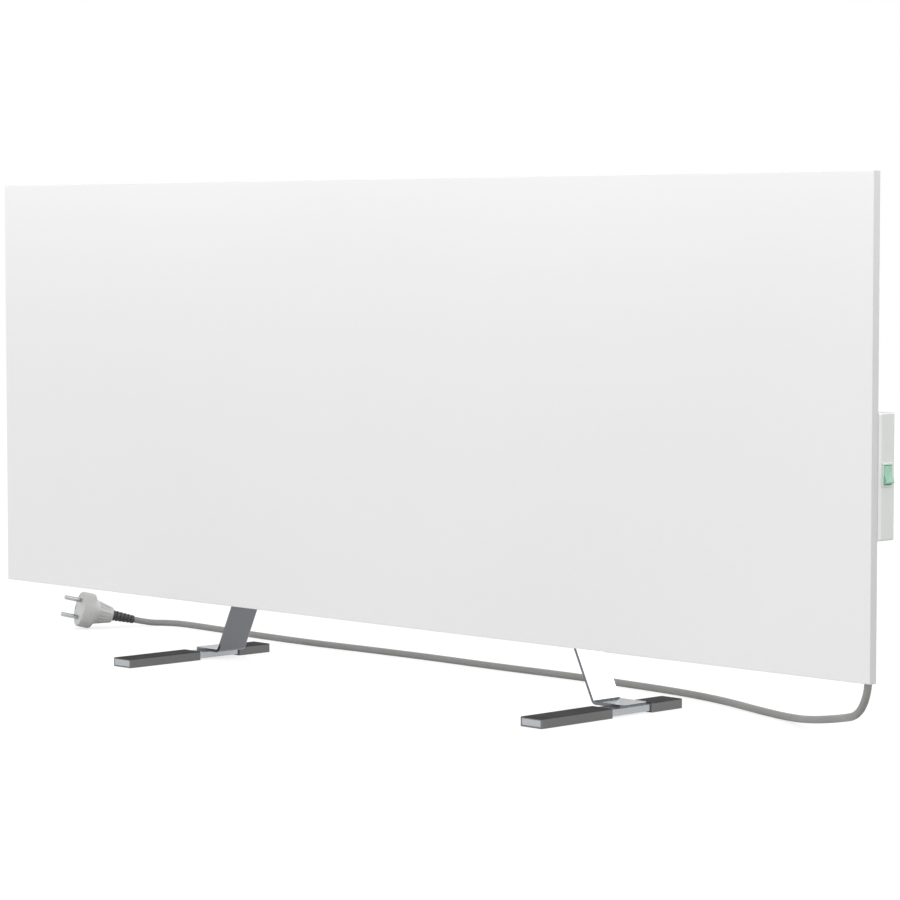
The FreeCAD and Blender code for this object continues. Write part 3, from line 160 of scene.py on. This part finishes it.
class Finish:
    """A material under construction: one shader, with textures on the piece's own coordinates."""

    def __init__(self, name, base, roughness, metallic=0.0):
        self.material = bpy.data.materials.new(name)
        self.material.use_nodes = True
        self.nodes = self.material.node_tree.nodes
        self.links = self.material.node_tree.links
        self.shader = self.nodes["Principled BSDF"]
        self.shader.inputs["Base Color"].default_value = (*base, 1.0)
        self.shader.inputs["Roughness"].default_value = roughness
        self.shader.inputs["Metallic"].default_value = metallic
        self.base = base
        self.roughness = roughness
        self.coordinates = self.nodes.new("ShaderNodeTexCoord")

    def set(self, **sockets):
        for name, value in sockets.items():
            self.shader.inputs[name.replace("_", " ")].default_value = value
        return self

    def noise(self, scale, detail=2.0, stretch=(1.0, 1.0, 1.0)):
        """A noise pattern. Stretch draws it out along an axis where its number is small."""
        mapping = self.nodes.new("ShaderNodeMapping")
        mapping.inputs["Scale"].default_value = stretch
        texture = self.nodes.new("ShaderNodeTexNoise")
        texture.inputs["Scale"].default_value = scale
        texture.inputs["Detail"].default_value = detail
        self.links.new(self.coordinates.outputs["Object"], mapping.inputs["Vector"])
        self.links.new(mapping.outputs["Vector"], texture.inputs["Vector"])
        return texture.outputs["Fac"]

    def bump(self, pattern, distance, strength=1.0):
        """Adds a pattern to the surface's relief, over what is there already."""
        node = self.nodes.new("ShaderNodeBump")
        node.inputs["Distance"].default_value = distance
        node.inputs["Strength"].default_value = strength
        self.links.new(pattern, node.inputs["Height"])
        before = self.shader.inputs["Normal"].links
        if before:
            self.links.new(before[0].from_socket, node.inputs["Normal"])
        self.links.new(node.outputs["Normal"], self.shader.inputs["Normal"])
        return self

    def mottle(self, pattern, spread):
        """Lets the roughness wander about its plain value."""
        node = self.nodes.new("ShaderNodeMapRange")
        node.inputs["From Min"].default_value = 0.3
        node.inputs["From Max"].default_value = 0.7
        node.inputs["To Min"].default_value = max(self.roughness - spread, 0.02)
        node.inputs["To Max"].default_value = min(self.roughness + spread, 1.0)
        self.links.new(pattern, node.inputs["Value"])
        self.links.new(node.outputs["Result"], self.shader.inputs["Roughness"])
        return self

    def tint(self, pattern, amount):
        """Lets the colour wander between a darker and a lighter shade of itself."""
        ramp = self.nodes.new("ShaderNodeValToRGB")
        ramp.color_ramp.elements[0].position = 0.35
        ramp.color_ramp.elements[1].position = 0.65
        ramp.color_ramp.elements[0].color = (*[level * (1 - amount) for level in self.base], 1.0)
        ramp.color_ramp.elements[1].color = (*[min(level * (1 + amount), 1.0) for level in self.base], 1.0)
        self.links.new(pattern, ramp.inputs["Fac"])
        self.links.new(ramp.outputs["Color"], self.shader.inputs["Base Color"])
        return self

    def rise(self, axis, start, end):
        """A mask that goes from 0 to 1 between two distances from the origin along an axis, on both sides."""
        split = self.nodes.new("ShaderNodeSeparateXYZ")
        away = self.nodes.new("ShaderNodeMath")
        away.operation = "ABSOLUTE"
        ramp = self.nodes.new("ShaderNodeMapRange")
        ramp.inputs["From Min"].default_value = start
        ramp.inputs["From Max"].default_value = end
        self.links.new(self.coordinates.outputs["Object"], split.inputs["Vector"])
        self.links.new(split.outputs[axis], away.inputs[0])
        self.links.new(away.outputs[0], ramp.inputs["Value"])
        return ramp.outputs["Result"]

    def layered(self, mask, layer, blend="MIX"):
        """Lays another colour over the tinted base where the mask is 1."""
        mix = self.nodes.new("ShaderNodeMix")
        mix.data_type = "RGBA"
        mix.blend_type = blend
        # The node's sockets for colours share their names with those for numbers, so they go by place
        factor, under, over = mix.inputs[0], mix.inputs[6], mix.inputs[7]
        result = mix.outputs[2]
        over.default_value = (*layer, 1.0)
        base = self.shader.inputs["Base Color"]
        self.links.new(mask, factor)
        self.links.new(base.links[0].from_socket, under)
        self.links.new(result, base)
        return self


def enamel(name, base, bend):
    """Powder coat with a fine orange peel and a slight change of gloss, and painted shade that makes it
    greyer past the end bends.
    """
    bend_width = 0.0006
    painted_side_shade = (0.8, 0.8, 0.8)
    coat = Finish(name, base, 0.42)
    coat.bump(coat.noise(420.0, 3.0), 0.00006)
    coat.mottle(coat.noise(9.0), 0.05)
    coat.tint(coat.noise(3.0, 1.0), 0.006)
    # Painted shade: past the bends the side returns are multiplied darker, as if in shade
    coat.layered(coat.rise("X", bend, bend + bend_width), painted_side_shade, "MULTIPLY")
    return coat.material


def moulded_plastic(name, base, roughness=0.48):
    """Spark-eroded plastic: a fine grain, and gloss that wanders with the mould."""
    plastic = Finish(name, base, roughness)
    plastic.bump(plastic.noise(1500.0, 2.0), 0.00005)
    plastic.mottle(plastic.noise(60.0), 0.06)
    plastic.tint(plastic.noise(24.0), 0.012)
    return plastic.material


def rolled_steel(name, base, roughness, stretch):
    """Polished sheet steel with faint rolling lines along its length."""
    metal = Finish(name, base, roughness, 1.0)
    metal.bump(metal.noise(90.0, 4.0, stretch), 0.000012)
    metal.mottle(metal.noise(30.0, 3.0), 0.04)
    metal.tint(metal.noise(14.0), 0.03)
    return metal


def plated(name, base, roughness=0.34):
    """Plated metal with a cloudy gloss."""
    metal = Finish(name, base, roughness, 1.0)
    metal.bump(metal.noise(700.0, 3.0), 0.00002)
    metal.mottle(metal.noise(120.0), 0.1)
    metal.tint(metal.noise(80.0), 0.06)
    return metal.material


def soft_rubber(name, base, roughness=0.62):
    """Matt rubber with a dusty grain and slightly worn patches."""
    rubber = Finish(name, base, roughness)
    rubber.bump(rubber.noise(900.0, 4.0), 0.00012)
    rubber.mottle(rubber.noise(45.0), 0.1)
    rubber.tint(rubber.noise(35.0, 3.0), 0.18)
    return rubber.material


def sleeve_rubber(name, base, painted_side_light, top):
    """Black rubber with painted shade on top and painted light that makes its sides a dull grey."""
    shaded_top_edge = top - 0.0002
    lit_side_edge = top - 0.0012
    rubber = Finish(name, base, 0.85)
    rubber.set(Specular_IOR_Level=0.2)
    rubber.bump(rubber.noise(900.0, 4.0), 0.00012)
    rubber.mottle(rubber.noise(45.0), 0.08)
    rubber.tint(rubber.noise(35.0, 3.0), 0.14)
    # Painted light and shade: the sides below the top edge take the lighter grey, the top stays black
    rubber.layered(rubber.rise("Z", shaded_top_edge, lit_side_edge), painted_side_light)
    return rubber.material


def fibrous(name, base, roughness, stretch=(1.0, 1.0, 1.0)):
    """Pressed mineral sheet or wool with flakes or fibres."""
    board = Finish(name, base, roughness)
    board.bump(board.noise(260.0, 6.0, stretch), 0.0003)
    board.mottle(board.noise(40.0), 0.12)
    board.tint(board.noise(70.0, 5.0, stretch), 0.16)
    return board.material


def green_lens(base):
    """Tinted plastic over a lamp, with a soft gloss."""
    lens = Finish("green_lens", base, 0.3)
    lens.set(Specular_IOR_Level=0.2)
    lens.bump(lens.noise(900.0, 2.0), 0.00003)
    lens.mottle(lens.noise(150.0), 0.05)
    lens.tint(lens.noise(160.0), 0.05)
    return lens.material


def lamp_glass():
    """Clear glass of the small lamp behind the rocker."""
    glass = Finish("lamp_glass", tone(232, 240, 236), 0.06)
    glass.set(Transmission_Weight=0.85, IOR=1.46)
    glass.mottle(glass.noise(300.0), 0.03)
    return glass.material


# Handling of pieces

def dress(material, *names):
    """Gives CAD nodes a finish. Their shapes stay as they are."""
    for name in names:
        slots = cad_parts[name].material_slots
        if not slots:
            raise RuntimeError("no material slot on " + name)
        for place in slots:
            place.material = material


def nothing_selected():
    if bpy.context.object and bpy.context.object.mode != "OBJECT":
        bpy.ops.object.mode_set(mode="OBJECT")
    bpy.ops.object.select_all(action="DESELECT")


def active(piece):
    nothing_selected()
    piece.select_set(True)
    bpy.context.view_layer.objects.active = piece


def turned(name, rings, sides):
    """Draws a disc up the Z axis through rings of (height, radius), as on a lathe."""
    nothing_selected()
    height, radius = rings[0]
    bpy.ops.mesh.primitive_circle_add(vertices=sides, radius=radius, fill_type="NGON",
                                      location=(0, 0, height))
    piece = bpy.context.object
    piece.name = name
    piece.data.name = name
    bpy.ops.object.transform_apply(location=True, rotation=True, scale=True)
    bpy.ops.object.mode_set(mode="EDIT")
    bpy.ops.mesh.select_all(action="SELECT")
    for next_height, next_radius in rings[1:]:
        bpy.ops.mesh.extrude_region_move(TRANSFORM_OT_translate={"value": (0, 0, next_height - height)})
        ratio = next_radius / radius
        bpy.ops.transform.resize(value=(ratio, ratio, 1), center_override=(0, 0, next_height))
        height, radius = next_height, next_radius
    bpy.ops.mesh.select_all(action="SELECT")
    bpy.ops.mesh.normals_make_consistent(inside=False)
    bpy.ops.object.mode_set(mode="OBJECT")
    return piece


def modified(piece, kind, **settings):
    """Adds a modifier with its settings and applies it."""
    active(piece)
    modifier = piece.modifiers.new(kind.title(), kind)
    for name, value in settings.items():
        setattr(modifier, name, value)
    bpy.ops.object.modifier_apply(modifier=modifier.name)


def placed(piece, matrix):
    """Puts the place and turn into the mesh, so the object stays at the origin."""
    active(piece)
    piece.matrix_world = matrix
    bpy.ops.object.transform_apply(location=True, rotation=True, scale=True)


def smooth(piece, angle):
    """Smooths the shading over edges flatter than an angle in degrees."""
    active(piece)
    bpy.ops.object.shade_smooth_by_angle(angle=math.radians(angle))


def finished(piece, material, nodes, body="heater"):
    """Gives a new piece its finish and its body, and hides the CAD nodes that it stands for."""
    piece.data.materials.clear()
    piece.data.materials.append(material)
    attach(piece, body)
    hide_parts(*nodes)


def eased(node, width, material, body="heater"):
    """A copy of a CAD piece with its sharp edges taken off. Flat faces keep flat shading."""
    touching = 0.000001
    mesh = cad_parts[node].data.copy()
    piece = bpy.data.objects.new(node + "_eased", mesh)
    mesh.name = piece.name
    bpy.context.scene.collection.objects.link(piece)
    active(piece)
    bpy.ops.object.mode_set(mode="EDIT")
    bpy.ops.mesh.select_all(action="SELECT")
    bpy.ops.mesh.remove_doubles(threshold=touching)
    bpy.ops.mesh.dissolve_limited(angle_limit=math.radians(0.5))
    bpy.ops.object.mode_set(mode="OBJECT")
    modified(piece, "BEVEL", width=width, segments=2, limit_method="ANGLE",
             angle_limit=math.radians(40))
    smooth(piece, 20)
    finished(piece, material, [node], body)


def cross_screw(name, shank, reach, head, height, sides):
    """A pan-head screw along +Z with a cross recess. Its head stands on Z = 0."""
    rings = [
        (-reach, shank * 0.55), (-reach * 0.86, shank), (0, shank), (0, head * 0.97),
        (height * 0.06, head), (height * 0.45, head), (height * 0.72, head * 0.93),
        (height * 0.9, head * 0.76), (height, head * 0.5),
    ]
    slot_length = head * 1.1
    slot_width = head * 0.24
    slot_depth = height * 1.1
    piece = turned(name, rings, sides)
    nothing_selected()
    bpy.ops.mesh.primitive_cube_add(size=1.0, location=(0, 0, height))
    cutter = bpy.context.object
    cutter.scale = (slot_length, slot_width, slot_depth)
    bpy.ops.object.transform_apply(location=True, rotation=True, scale=True)
    bpy.ops.object.mode_set(mode="EDIT")
    bpy.ops.mesh.select_all(action="SELECT")
    bpy.ops.mesh.duplicate()
    bpy.ops.transform.rotate(value=math.pi / 2, orient_axis="Z", center_override=(0, 0, height))
    bpy.ops.object.mode_set(mode="OBJECT")
    modified(piece, "BOOLEAN", operation="DIFFERENCE", solver="EXACT", use_self=True, object=cutter)
    bpy.data.objects.remove(cutter)
    smooth(piece, 30)
    return piece


def repeated(pattern, matrices, name):
    """Copies a piece to every place, each copy with its own mesh, and joins them to one set."""
    copies = []
    for matrix in matrices:
        copy = pattern.copy()
        copy.data = pattern.data.copy()
        bpy.context.collection.objects.link(copy)
        placed(copy, matrix)
        copies.append(copy)
    nothing_selected()
    for copy in copies:
        copy.select_set(True)
    bpy.context.view_layer.objects.active = copies[0]
    bpy.ops.object.join()
    joined = bpy.context.object
    joined.name = name
    joined.data.name = name
    bpy.data.objects.remove(pattern)
    return joined


def facing_back(x, y, z, turn):
    """A place whose Z axis points backwards, turned about itself."""
    backwards = Matrix.Rotation(-math.pi / 2, 4, "X")
    return Matrix.Translation((x, y, z)) @ backwards @ Matrix.Rotation(turn, 4, "Z")


def screw_centres(name, head):
    """The outermost centres of a node's screws across and up the panel, from its box and head radius."""
    low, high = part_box(name)
    return (low[0] + head, high[0] - head), (low[2] + head, high[2] - head)


def screw_set(name, places, shank, head, height, sides):
    """Detailed screws for a CAD node of screws, at places across and up the panel."""
    low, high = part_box(name)
    seat = high[1] - height
    pattern = cross_screw(name + "_pattern", shank, seat - low[1], head, height, sides)
    matrices = [facing_back(x, seat, z, SCREW_TURN * count) for count, (x, z) in enumerate(places)]
    piece = repeated(pattern, matrices, name + "_detailed")
    finished(piece, bpy.data.materials["zinc_steel"], [name])


# Operators, one for each piece or group of like pieces

class HEATER_OT_camera(bpy.types.Operator):
    """Sets the camera where the photograph was taken"""
    bl_idname = "heater.camera"
    bl_label = "Camera"

    def execute(self, context):
        lens = bpy.data.cameras.new("photo_camera")
        lens.sensor_width = CAMERA_SENSOR
        lens.lens = CAMERA_LENS
        lens.clip_end = 60.0
        camera = bpy.data.objects.new("photo_camera", lens)
        context.scene.collection.objects.link(camera)
        camera.location = CAMERA_PLACE
        camera.rotation_euler = (math.radians(90 - CAMERA_DIP), 0, math.radians(CAMERA_HEADING))
        context.scene.camera = camera
        return {"FINISHED"}


class HEATER_OT_cord(bpy.types.Operator):
    """Lays the mains cord from the control box over the floor to the plug"""
    bl_idname = "heater.cord"
    bl_label = "Mains cord"

    def execute(self, context):
        sizes = context.scene.heater_sizes
        curve = bpy.data.curves.new("mains_cord", "CURVE")
        curve.dimensions = "3D"
        curve.bevel_depth = sizes.cord_diameter / 2
        curve.bevel_resolution = 6
        curve.use_fill_caps = True
        curve.resolution_u = 14
        spline = curve.splines.new("NURBS")
        spline.points.add(len(CORD_ROUTE) - 1)
        for point, place in zip(spline.points, CORD_ROUTE):
            point.co = (*place, 1.0)
        spline.order_u = 3
        spline.use_endpoint_u = True
        cord = bpy.data.objects.new("mains_cord", curve)
        context.scene.collection.objects.link(cord)
        jacket = Finish("cord_jacket", context.scene.heater_colours.cord_jacket, 0.5)
        jacket.bump(jacket.noise(900.0, 3.0), 0.00008)
        jacket.mottle(jacket.noise(80.0), 0.08)
        jacket.tint(jacket.noise(20.0, 3.0), 0.05)
        finished(cord, jacket.material, ["power_cord"])
        dress(jacket.material, "cord_tail")
        return {"FINISHED"}


class HEATER_OT_panel(bpy.types.Operator):
    """Finishes the white front tray and the rear panel"""
    bl_idname = "heater.panel"
    bl_label = "Panel"

    def execute(self, context):
        colours = context.scene.heater_colours
        sheet = 0.0008
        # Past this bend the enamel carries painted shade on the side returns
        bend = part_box("front_panel")[1][0] - sheet
        dress(enamel("front_enamel", colours.front_enamel, bend), "front_panel")
        dress(enamel("rear_enamel", colours.rear_enamel, bend), "rear_panel")
        return {"FINISHED"}


class HEATER_OT_layers(bpy.types.Operator):
    """Finishes the sheets, the foil and the wiring inside the panel"""
    bl_idname = "heater.layers"
    bl_label = "Inner layers"

    def execute(self, context):
        colours = context.scene.heater_colours
        dress(fibrous("mica", tone(196, 180, 150), 0.4), "front_insulator", "rear_insulator")
        dress(plated("resistance_foil", tone(150, 146, 138), 0.3), "heating_element")
        dress(plated("reflector", tone(206, 209, 212), 0.2), "reflector_foil")
        dress(fibrous("insulation", tone(214, 206, 188), 0.9, (1.0, 1.0, 0.3)), "insulation_board")
        dress(plated("brass", colours.brass, 0.3), "element_rivets", "live_strap", "neutral_strap",
              "terminal_tubes", "switch_terminals", "contact_lever", "earth_lug")
        dress(moulded_plastic("cutout_case", tone(58, 52, 46), 0.4), "thermal_cutout")
        return {"FINISHED"}


class HEATER_OT_legs(bpy.types.Operator):
    """Finishes the bright stems, the steel feet and their black sleeves"""
    bl_idname = "heater.legs"
    bl_label = "Legs"

    def execute(self, context):
        sizes = context.scene.heater_sizes
        colours = context.scene.heater_colours
        stem = rolled_steel("polished_steel", colours.steel, 0.16, (6.0, 6.0, 0.25))
        low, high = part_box("left_leg_stem")
        edge_start = 0.0005
        edge_full = 0.0002
        stem.layered(stem.rise("Y", low[1] + edge_start, low[1] + edge_full), colours.cut_steel)
        stem.layered(stem.rise("Y", high[1] - edge_start, high[1] - edge_full), colours.cut_steel)
        bar = rolled_steel("bare_steel", colours.bare_steel, 0.26, (6.0, 0.25, 6.0))
        for side in ("left", "right"):
            eased(side + "_leg_stem", sizes.stem_easing, stem.material)
            eased(side + "_foot_core", sizes.core_easing, bar.material)
        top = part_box("left_front_foot_sleeve")[1][2]
        # The sleeves get painted light on their sides and painted shade on their tops
        rubber = sleeve_rubber("black_rubber", colours.rubber, colours.sleeve_side_light, top)
        dress(rubber, "left_front_foot_sleeve", "left_rear_foot_sleeve", "right_front_foot_sleeve",
              "right_rear_foot_sleeve", "wire_grommet")
        dress(plated("zinc_steel", colours.zinc), "left_leg_backing_plate", "right_leg_backing_plate",
              "box_backing_plate", "foot_screws", "box_base_screws", "earth_screw", "terminal_screws",
              "cord_clamp_screws")
        return {"FINISHED"}


class HEATER_OT_screws(bpy.types.Operator):
    """Models the screws that show, with cross recesses"""
    bl_idname = "heater.screws"
    bl_label = "Screws"

    def rear_panel(self, sizes):
        """Rows along the panel's top and bottom, and two more screws at each end, above and below the box."""
        panel_low, panel_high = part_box("front_panel")
        box_low, box_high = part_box("control_box_base")
        (left, right), rows = screw_centres("rear_panel_screws", sizes.small_head)
        step = (right - left) / (REAR_SCREWS_ACROSS - 1)
        places = [(left + step * count, row) for count in range(REAR_SCREWS_ACROSS) for row in rows]
        for row in ((panel_low[2] + box_low[2]) / 2, (box_high[2] + panel_high[2]) / 2):
            places += [(left, row), (right, row)]
        return places

    def legs(self, sizes):
        """Three screws up each stem, which lean with it."""
        (_, right), (bottom, top) = screw_centres("leg_screws", sizes.leg_head)
        lean = math.tan(math.radians(STEM_LEAN))
        places = []
        for row in (bottom, (bottom + top) / 2, top):
            across = right - (row - bottom) * lean
            places += [(across, row), (-across, row)]
        return places

    def box_cover(self, sizes):
        """Three corners of the box. The fourth is where the cord comes in."""
        (left, right), (bottom, top) = screw_centres("box_cover_screws", sizes.small_head)
        return [(left, bottom), (left, top), (right, top)]

    def execute(self, context):
        sizes = context.scene.heater_sizes
        small = (sizes.small_shank, sizes.small_head, sizes.small_head_height, sizes.screw_sides)
        large = (sizes.leg_shank, sizes.leg_head, sizes.leg_head_height, sizes.screw_sides)
        screw_set("rear_panel_screws", self.rear_panel(sizes), *small)
        screw_set("leg_screws", self.legs(sizes), *large)
        screw_set("box_cover_screws", self.box_cover(sizes), *small)
        return {"FINISHED"}


class HEATER_OT_control_box(bpy.types.Operator):
    """Finishes the control box and what is inside it"""
    bl_idname = "heater.control_box"
    bl_label = "Control box"

    def execute(self, context):
        colours = context.scene.heater_colours
        dress(moulded_plastic("box_base_plastic", colours.box_base), "control_box_base")
        dress(moulded_plastic("box_cover_plastic", colours.box_cover), "control_box_cover")
        dress(moulded_plastic("block_plastic", tone(222, 220, 210), 0.4), "terminal_block", "cord_clamp")
        dress(soft_rubber("cord_boot", tone(120, 121, 120), 0.55), "cord_strain_relief")
        dress(soft_rubber("live_sleeve", tone(112, 70, 44), 0.45), "switch_leads")
        dress(soft_rubber("neutral_sleeve", tone(52, 92, 158), 0.45), "neutral_lead")
        dress(soft_rubber("earth_sleeve", tone(150, 168, 40), 0.45), "earth_lead", "cord_conductors")
        return {"FINISHED"}


class HEATER_OT_switch(bpy.types.Operator):
    """Finishes the switch: frame, green rocker and the parts behind it"""
    bl_idname = "heater.switch"
    bl_label = "Switch"

    def execute(self, context):
        colours = context.scene.heater_colours
        easing = context.scene.heater_sizes.rocker_easing
        frame_plastic = moulded_plastic("switch_plastic", colours.switch_frame, 0.36)
        dress(frame_plastic, "switch_housing", "rocker_plunger")
        eased("switch_rocker", easing, green_lens(colours.green_lens), "rocker")
        dress(lamp_glass(), "switch_lamp")
        return {"FINISHED"}


class HEATER_OT_plug(bpy.types.Operator):
    """Models the round plug with its grip and ribbed boot at the cord's end"""
    bl_idname = "heater.plug"
    bl_label = "Plug"

    def place(self):
        """The place at the cord's end, with the Z axis along the cord."""
        before, end = [Vector(point) for point in CORD_ROUTE[-2:]]
        along = (end - before).normalized()
        side = Vector((0, 0, 1)).cross(along).normalized()
        up = along.cross(side)
        turn = Matrix((side, up, along)).transposed().to_4x4()
        return Matrix.Translation(end) @ turn

    def boot(self, sizes):
        """A soft taper with shallow grooves."""
        sides = 40
        grooves = 5
        groove_half = 0.0010
        floor_half = 0.0006
        waist = 0.88
        span = sizes.plug_boot
        tail = sizes.plug_boot_tail
        head = sizes.plug_boot_head
        rings = [(0.0, tail * 0.82), (0.0004, tail * 0.96), (0.0012, tail)]
        for groove in range(1, grooves + 1):
            middle = span * groove / (grooves + 1)
            radius = tail + (head - tail) * middle / span
            rings += [(middle - groove_half, radius), (middle - floor_half, radius * waist),
                      (middle + floor_half, radius * waist), (middle + groove_half, radius)]
        rings.append((span, head))
        return turned("plug_boot_detailed", rings, sides)

    def body(self, sizes):
        """Collar, tapered grip with finger grooves, flare, round nose and a shallow rim on the face."""
        sides = 64
        groove_margin = 0.0004
        groove_depth = 0.0006
        start = sizes.plug_boot
        grip = start + sizes.plug_grip
        nose = grip + sizes.plug_shoulder
        face = nose + sizes.plug_nose
        tail = sizes.plug_grip_tail
        head = sizes.plug_grip_head
        radius = sizes.plug_radius
        low = start + 0.004
        high = grip - 0.003
        collar = [(start, tail * 0.86), (start + 0.0006, tail * 0.97), (start + 0.0018, tail)]
        taper = [(low, tail * 1.06), (high, head * 0.96), (grip - 0.001, head), (grip + 0.0014, head * 1.12)]
        shoulder = [(nose - 0.0008, radius * 0.965), (nose + 0.0004, radius * 0.993), (nose + 0.0016, radius)]
        edge = [(face - 0.0016, radius), (face - 0.0006, radius - 0.0003), (face, radius - 0.001)]
        rim = [(face, radius - 0.0026), (face - 0.0005, radius - 0.0030)]
        piece = turned("plug_body_detailed", collar + taper + shoulder + edge + rim, sides)
        for polygon in piece.data.polygons:
            turn = math.degrees(math.atan2(polygon.center.y, polygon.center.x)) % 360
            facet = int(turn // (360 / sides))
            polygon.select = low < polygon.center.z < high and facet % 4 in (0, 1)
        bpy.context.tool_settings.mesh_select_mode = (False, False, True)
        active(piece)
        bpy.ops.object.mode_set(mode="EDIT")
        bpy.ops.mesh.inset(thickness=groove_margin, depth=-groove_depth)
        bpy.ops.object.mode_set(mode="OBJECT")
        return piece

    def execute(self, context):
        sizes = context.scene.heater_sizes
        colours = context.scene.heater_colours
        boot = self.boot(sizes)
        placed(boot, self.place())
        smooth(boot, 32)
        soft = soft_rubber("plug_boot", colours.plug_boot, 0.55)
        finished(boot, soft, ["plug_strain_relief"])
        body = self.body(sizes)
        placed(body, self.place())
        smooth(body, 32)
        shell = moulded_plastic("plug_plastic", colours.plug_plastic, 0.42)
        finished(body, shell, ["plug_body"])
        dress(plated("plug_metal", tone(176, 178, 180), 0.2), "plug_pins", "plug_earth_contacts")
        return {"FINISHED"}


class HEATER_OT_stage(bpy.types.Operator):
    """Sets up the white floor, the white room and the soft lamps"""
    bl_idname = "heater.stage"
    bl_label = "Stage"

    def white_rays(self, nodes, links):
        """1 for rays that look straight at a surface, or at its mirror image or through glass."""
        path = nodes.new("ShaderNodeLightPath")
        first = nodes.new("ShaderNodeMath")
        first.operation = "MAXIMUM"
        second = nodes.new("ShaderNodeMath")
        second.operation = "MAXIMUM"
        links.new(path.outputs["Is Camera Ray"], first.inputs[0])
        links.new(path.outputs["Is Glossy Ray"], first.inputs[1])
        links.new(first.outputs[0], second.inputs[0])
        links.new(path.outputs["Is Transmission Ray"], second.inputs[1])
        return second.outputs[0]

    def floor(self, shade, brightness):
        """A floor that looks white, throws back little light and keeps a faint shadow."""
        nothing_selected()
        bpy.ops.mesh.primitive_plane_add(size=40.0, location=(0, 0, 0))
        floor = bpy.context.object
        floor.name = "studio_floor"
        material = bpy.data.materials.new("studio_floor")
        material.use_nodes = True
        nodes = material.node_tree.nodes
        links = material.node_tree.links
        nodes.clear()
        paint = nodes.new("ShaderNodeBsdfDiffuse")
        paint.inputs["Color"].default_value = (shade, shade, shade, 1.0)
        glow = nodes.new("ShaderNodeEmission")
        scaled = nodes.new("ShaderNodeMath")
        scaled.operation = "MULTIPLY"
        scaled.inputs[1].default_value = brightness
        both = nodes.new("ShaderNodeAddShader")
        output = nodes.new("ShaderNodeOutputMaterial")
        links.new(self.white_rays(nodes, links), scaled.inputs[0])
        links.new(scaled.outputs[0], glow.inputs["Strength"])
        links.new(paint.outputs[0], both.inputs[0])
        links.new(glow.outputs[0], both.inputs[1])
        links.new(both.outputs[0], output.inputs["Surface"])
        floor.data.materials.append(material)

    def room(self, context, ambient):
        """A white room that lights the heater evenly."""
        world = bpy.data.worlds.new("white_room")
        world.use_nodes = True
        nodes = world.node_tree.nodes
        links = world.node_tree.links
        shade = nodes["Background"]
        span = nodes.new("ShaderNodeMapRange")
        span.inputs["To Min"].default_value = ambient
        span.inputs["To Max"].default_value = 1.0
        links.new(self.white_rays(nodes, links), span.inputs["Value"])
        shade.inputs["Color"].default_value = (1.0, 1.0, 1.0, 1.0)
        links.new(span.outputs["Result"], shade.inputs["Strength"])
        context.scene.world = world

    def lamp(self, context, name, place, target, size, watts, mirrored_only=False):
        """A soft lamp that the camera doesn't see. Mirrored only, it adds nothing to matt surfaces."""
        light = bpy.data.lights.new(name, "AREA")
        light.shape = "RECTANGLE"
        light.size, light.size_y = size
        light.energy = watts
        lamp = bpy.data.objects.new(name, light)
        context.scene.collection.objects.link(lamp)
        lamp.visible_camera = False
        lamp.visible_diffuse = not mirrored_only
        lamp.location = place
        lamp.rotation_euler = (Vector(target) - Vector(place)).to_track_quat("-Z", "Y").to_euler()

    def execute(self, context):
        studio = context.scene.heater_studio
        context.scene.view_settings.view_transform = "Standard"
        self.floor(studio.floor_shade, studio.floor_glow)
        self.room(context, studio.ambient)
        self.lamp(context, "key_lamp", (-0.4, -5.0, 1.2), (0, 0, 0.27), (3.0, 2.0), studio.key)
        self.lamp(context, "top_lamp", (0, -0.11, 0.61), (0, -0.11, 0), (2.6, 0.08), studio.top)
        self.lamp(context, "side_lamp", (2.6, 0.5, 1.3), (0.6, 0, 0.25), (1.2, 1.2), studio.side)
        self.lamp(context, "back_lamp", (0.4, 5.0, 1.6), (0, 0, 0.27), (3.0, 2.0), studio.back)
        self.lamp(context, "rim_lamp", (1.65, 1.95, 1.35), (0.26, 0.03, 0.06), (1.3, 1.2), studio.rim, True)
        return {"FINISHED"}


class HEATER_PT_builder(bpy.types.Panel):
    """Lists the steps that dress the heater"""
    bl_label = "Panel Heater"
    bl_idname = "HEATER_PT_builder"
    bl_space_type = "VIEW_3D"
    bl_region_type = "UI"
    bl_category = "Heater"

    def draw(self, context):
        column = self.layout.column(align=True)
        for step in STEPS:
            column.operator(step.bl_idname)
        for group in (context.scene.heater_sizes, context.scene.heater_colours, context.scene.heater_studio):
            rows = self.layout.box().column(align=True)
            for name in group.__annotations__:
                rows.prop(group, name)


STEPS = (HEATER_OT_camera, HEATER_OT_cord, HEATER_OT_panel, HEATER_OT_layers, HEATER_OT_legs,
         HEATER_OT_screws, HEATER_OT_control_box, HEATER_OT_switch, HEATER_OT_plug, HEATER_OT_stage)
CLASSES = (HeaterSizes, HeaterColours, StudioSettings) + STEPS + (HEATER_PT_builder,)


def register():
    for entry in CLASSES:
        bpy.utils.register_class(entry)
    bpy.types.Scene.heater_sizes = PointerProperty(type=HeaterSizes)
    bpy.types.Scene.heater_colours = PointerProperty(type=HeaterColours)
    bpy.types.Scene.heater_studio = PointerProperty(type=StudioSettings)


def unregister():
    del bpy.types.Scene.heater_studio
    del bpy.types.Scene.heater_colours
    del bpy.types.Scene.heater_sizes
    for entry in reversed(CLASSES):
        bpy.utils.unregister_class(entry)


def main():
    register()
    bpy.ops.heater.camera()
    bpy.ops.heater.cord()
    bpy.ops.heater.panel()
    bpy.ops.heater.layers()
    bpy.ops.heater.legs()
    bpy.ops.heater.screws()
    bpy.ops.heater.control_box()
    bpy.ops.heater.switch()
    bpy.ops.heater.plug()
    bpy.ops.heater.stage()


if __name__ == "__main__":
    main()
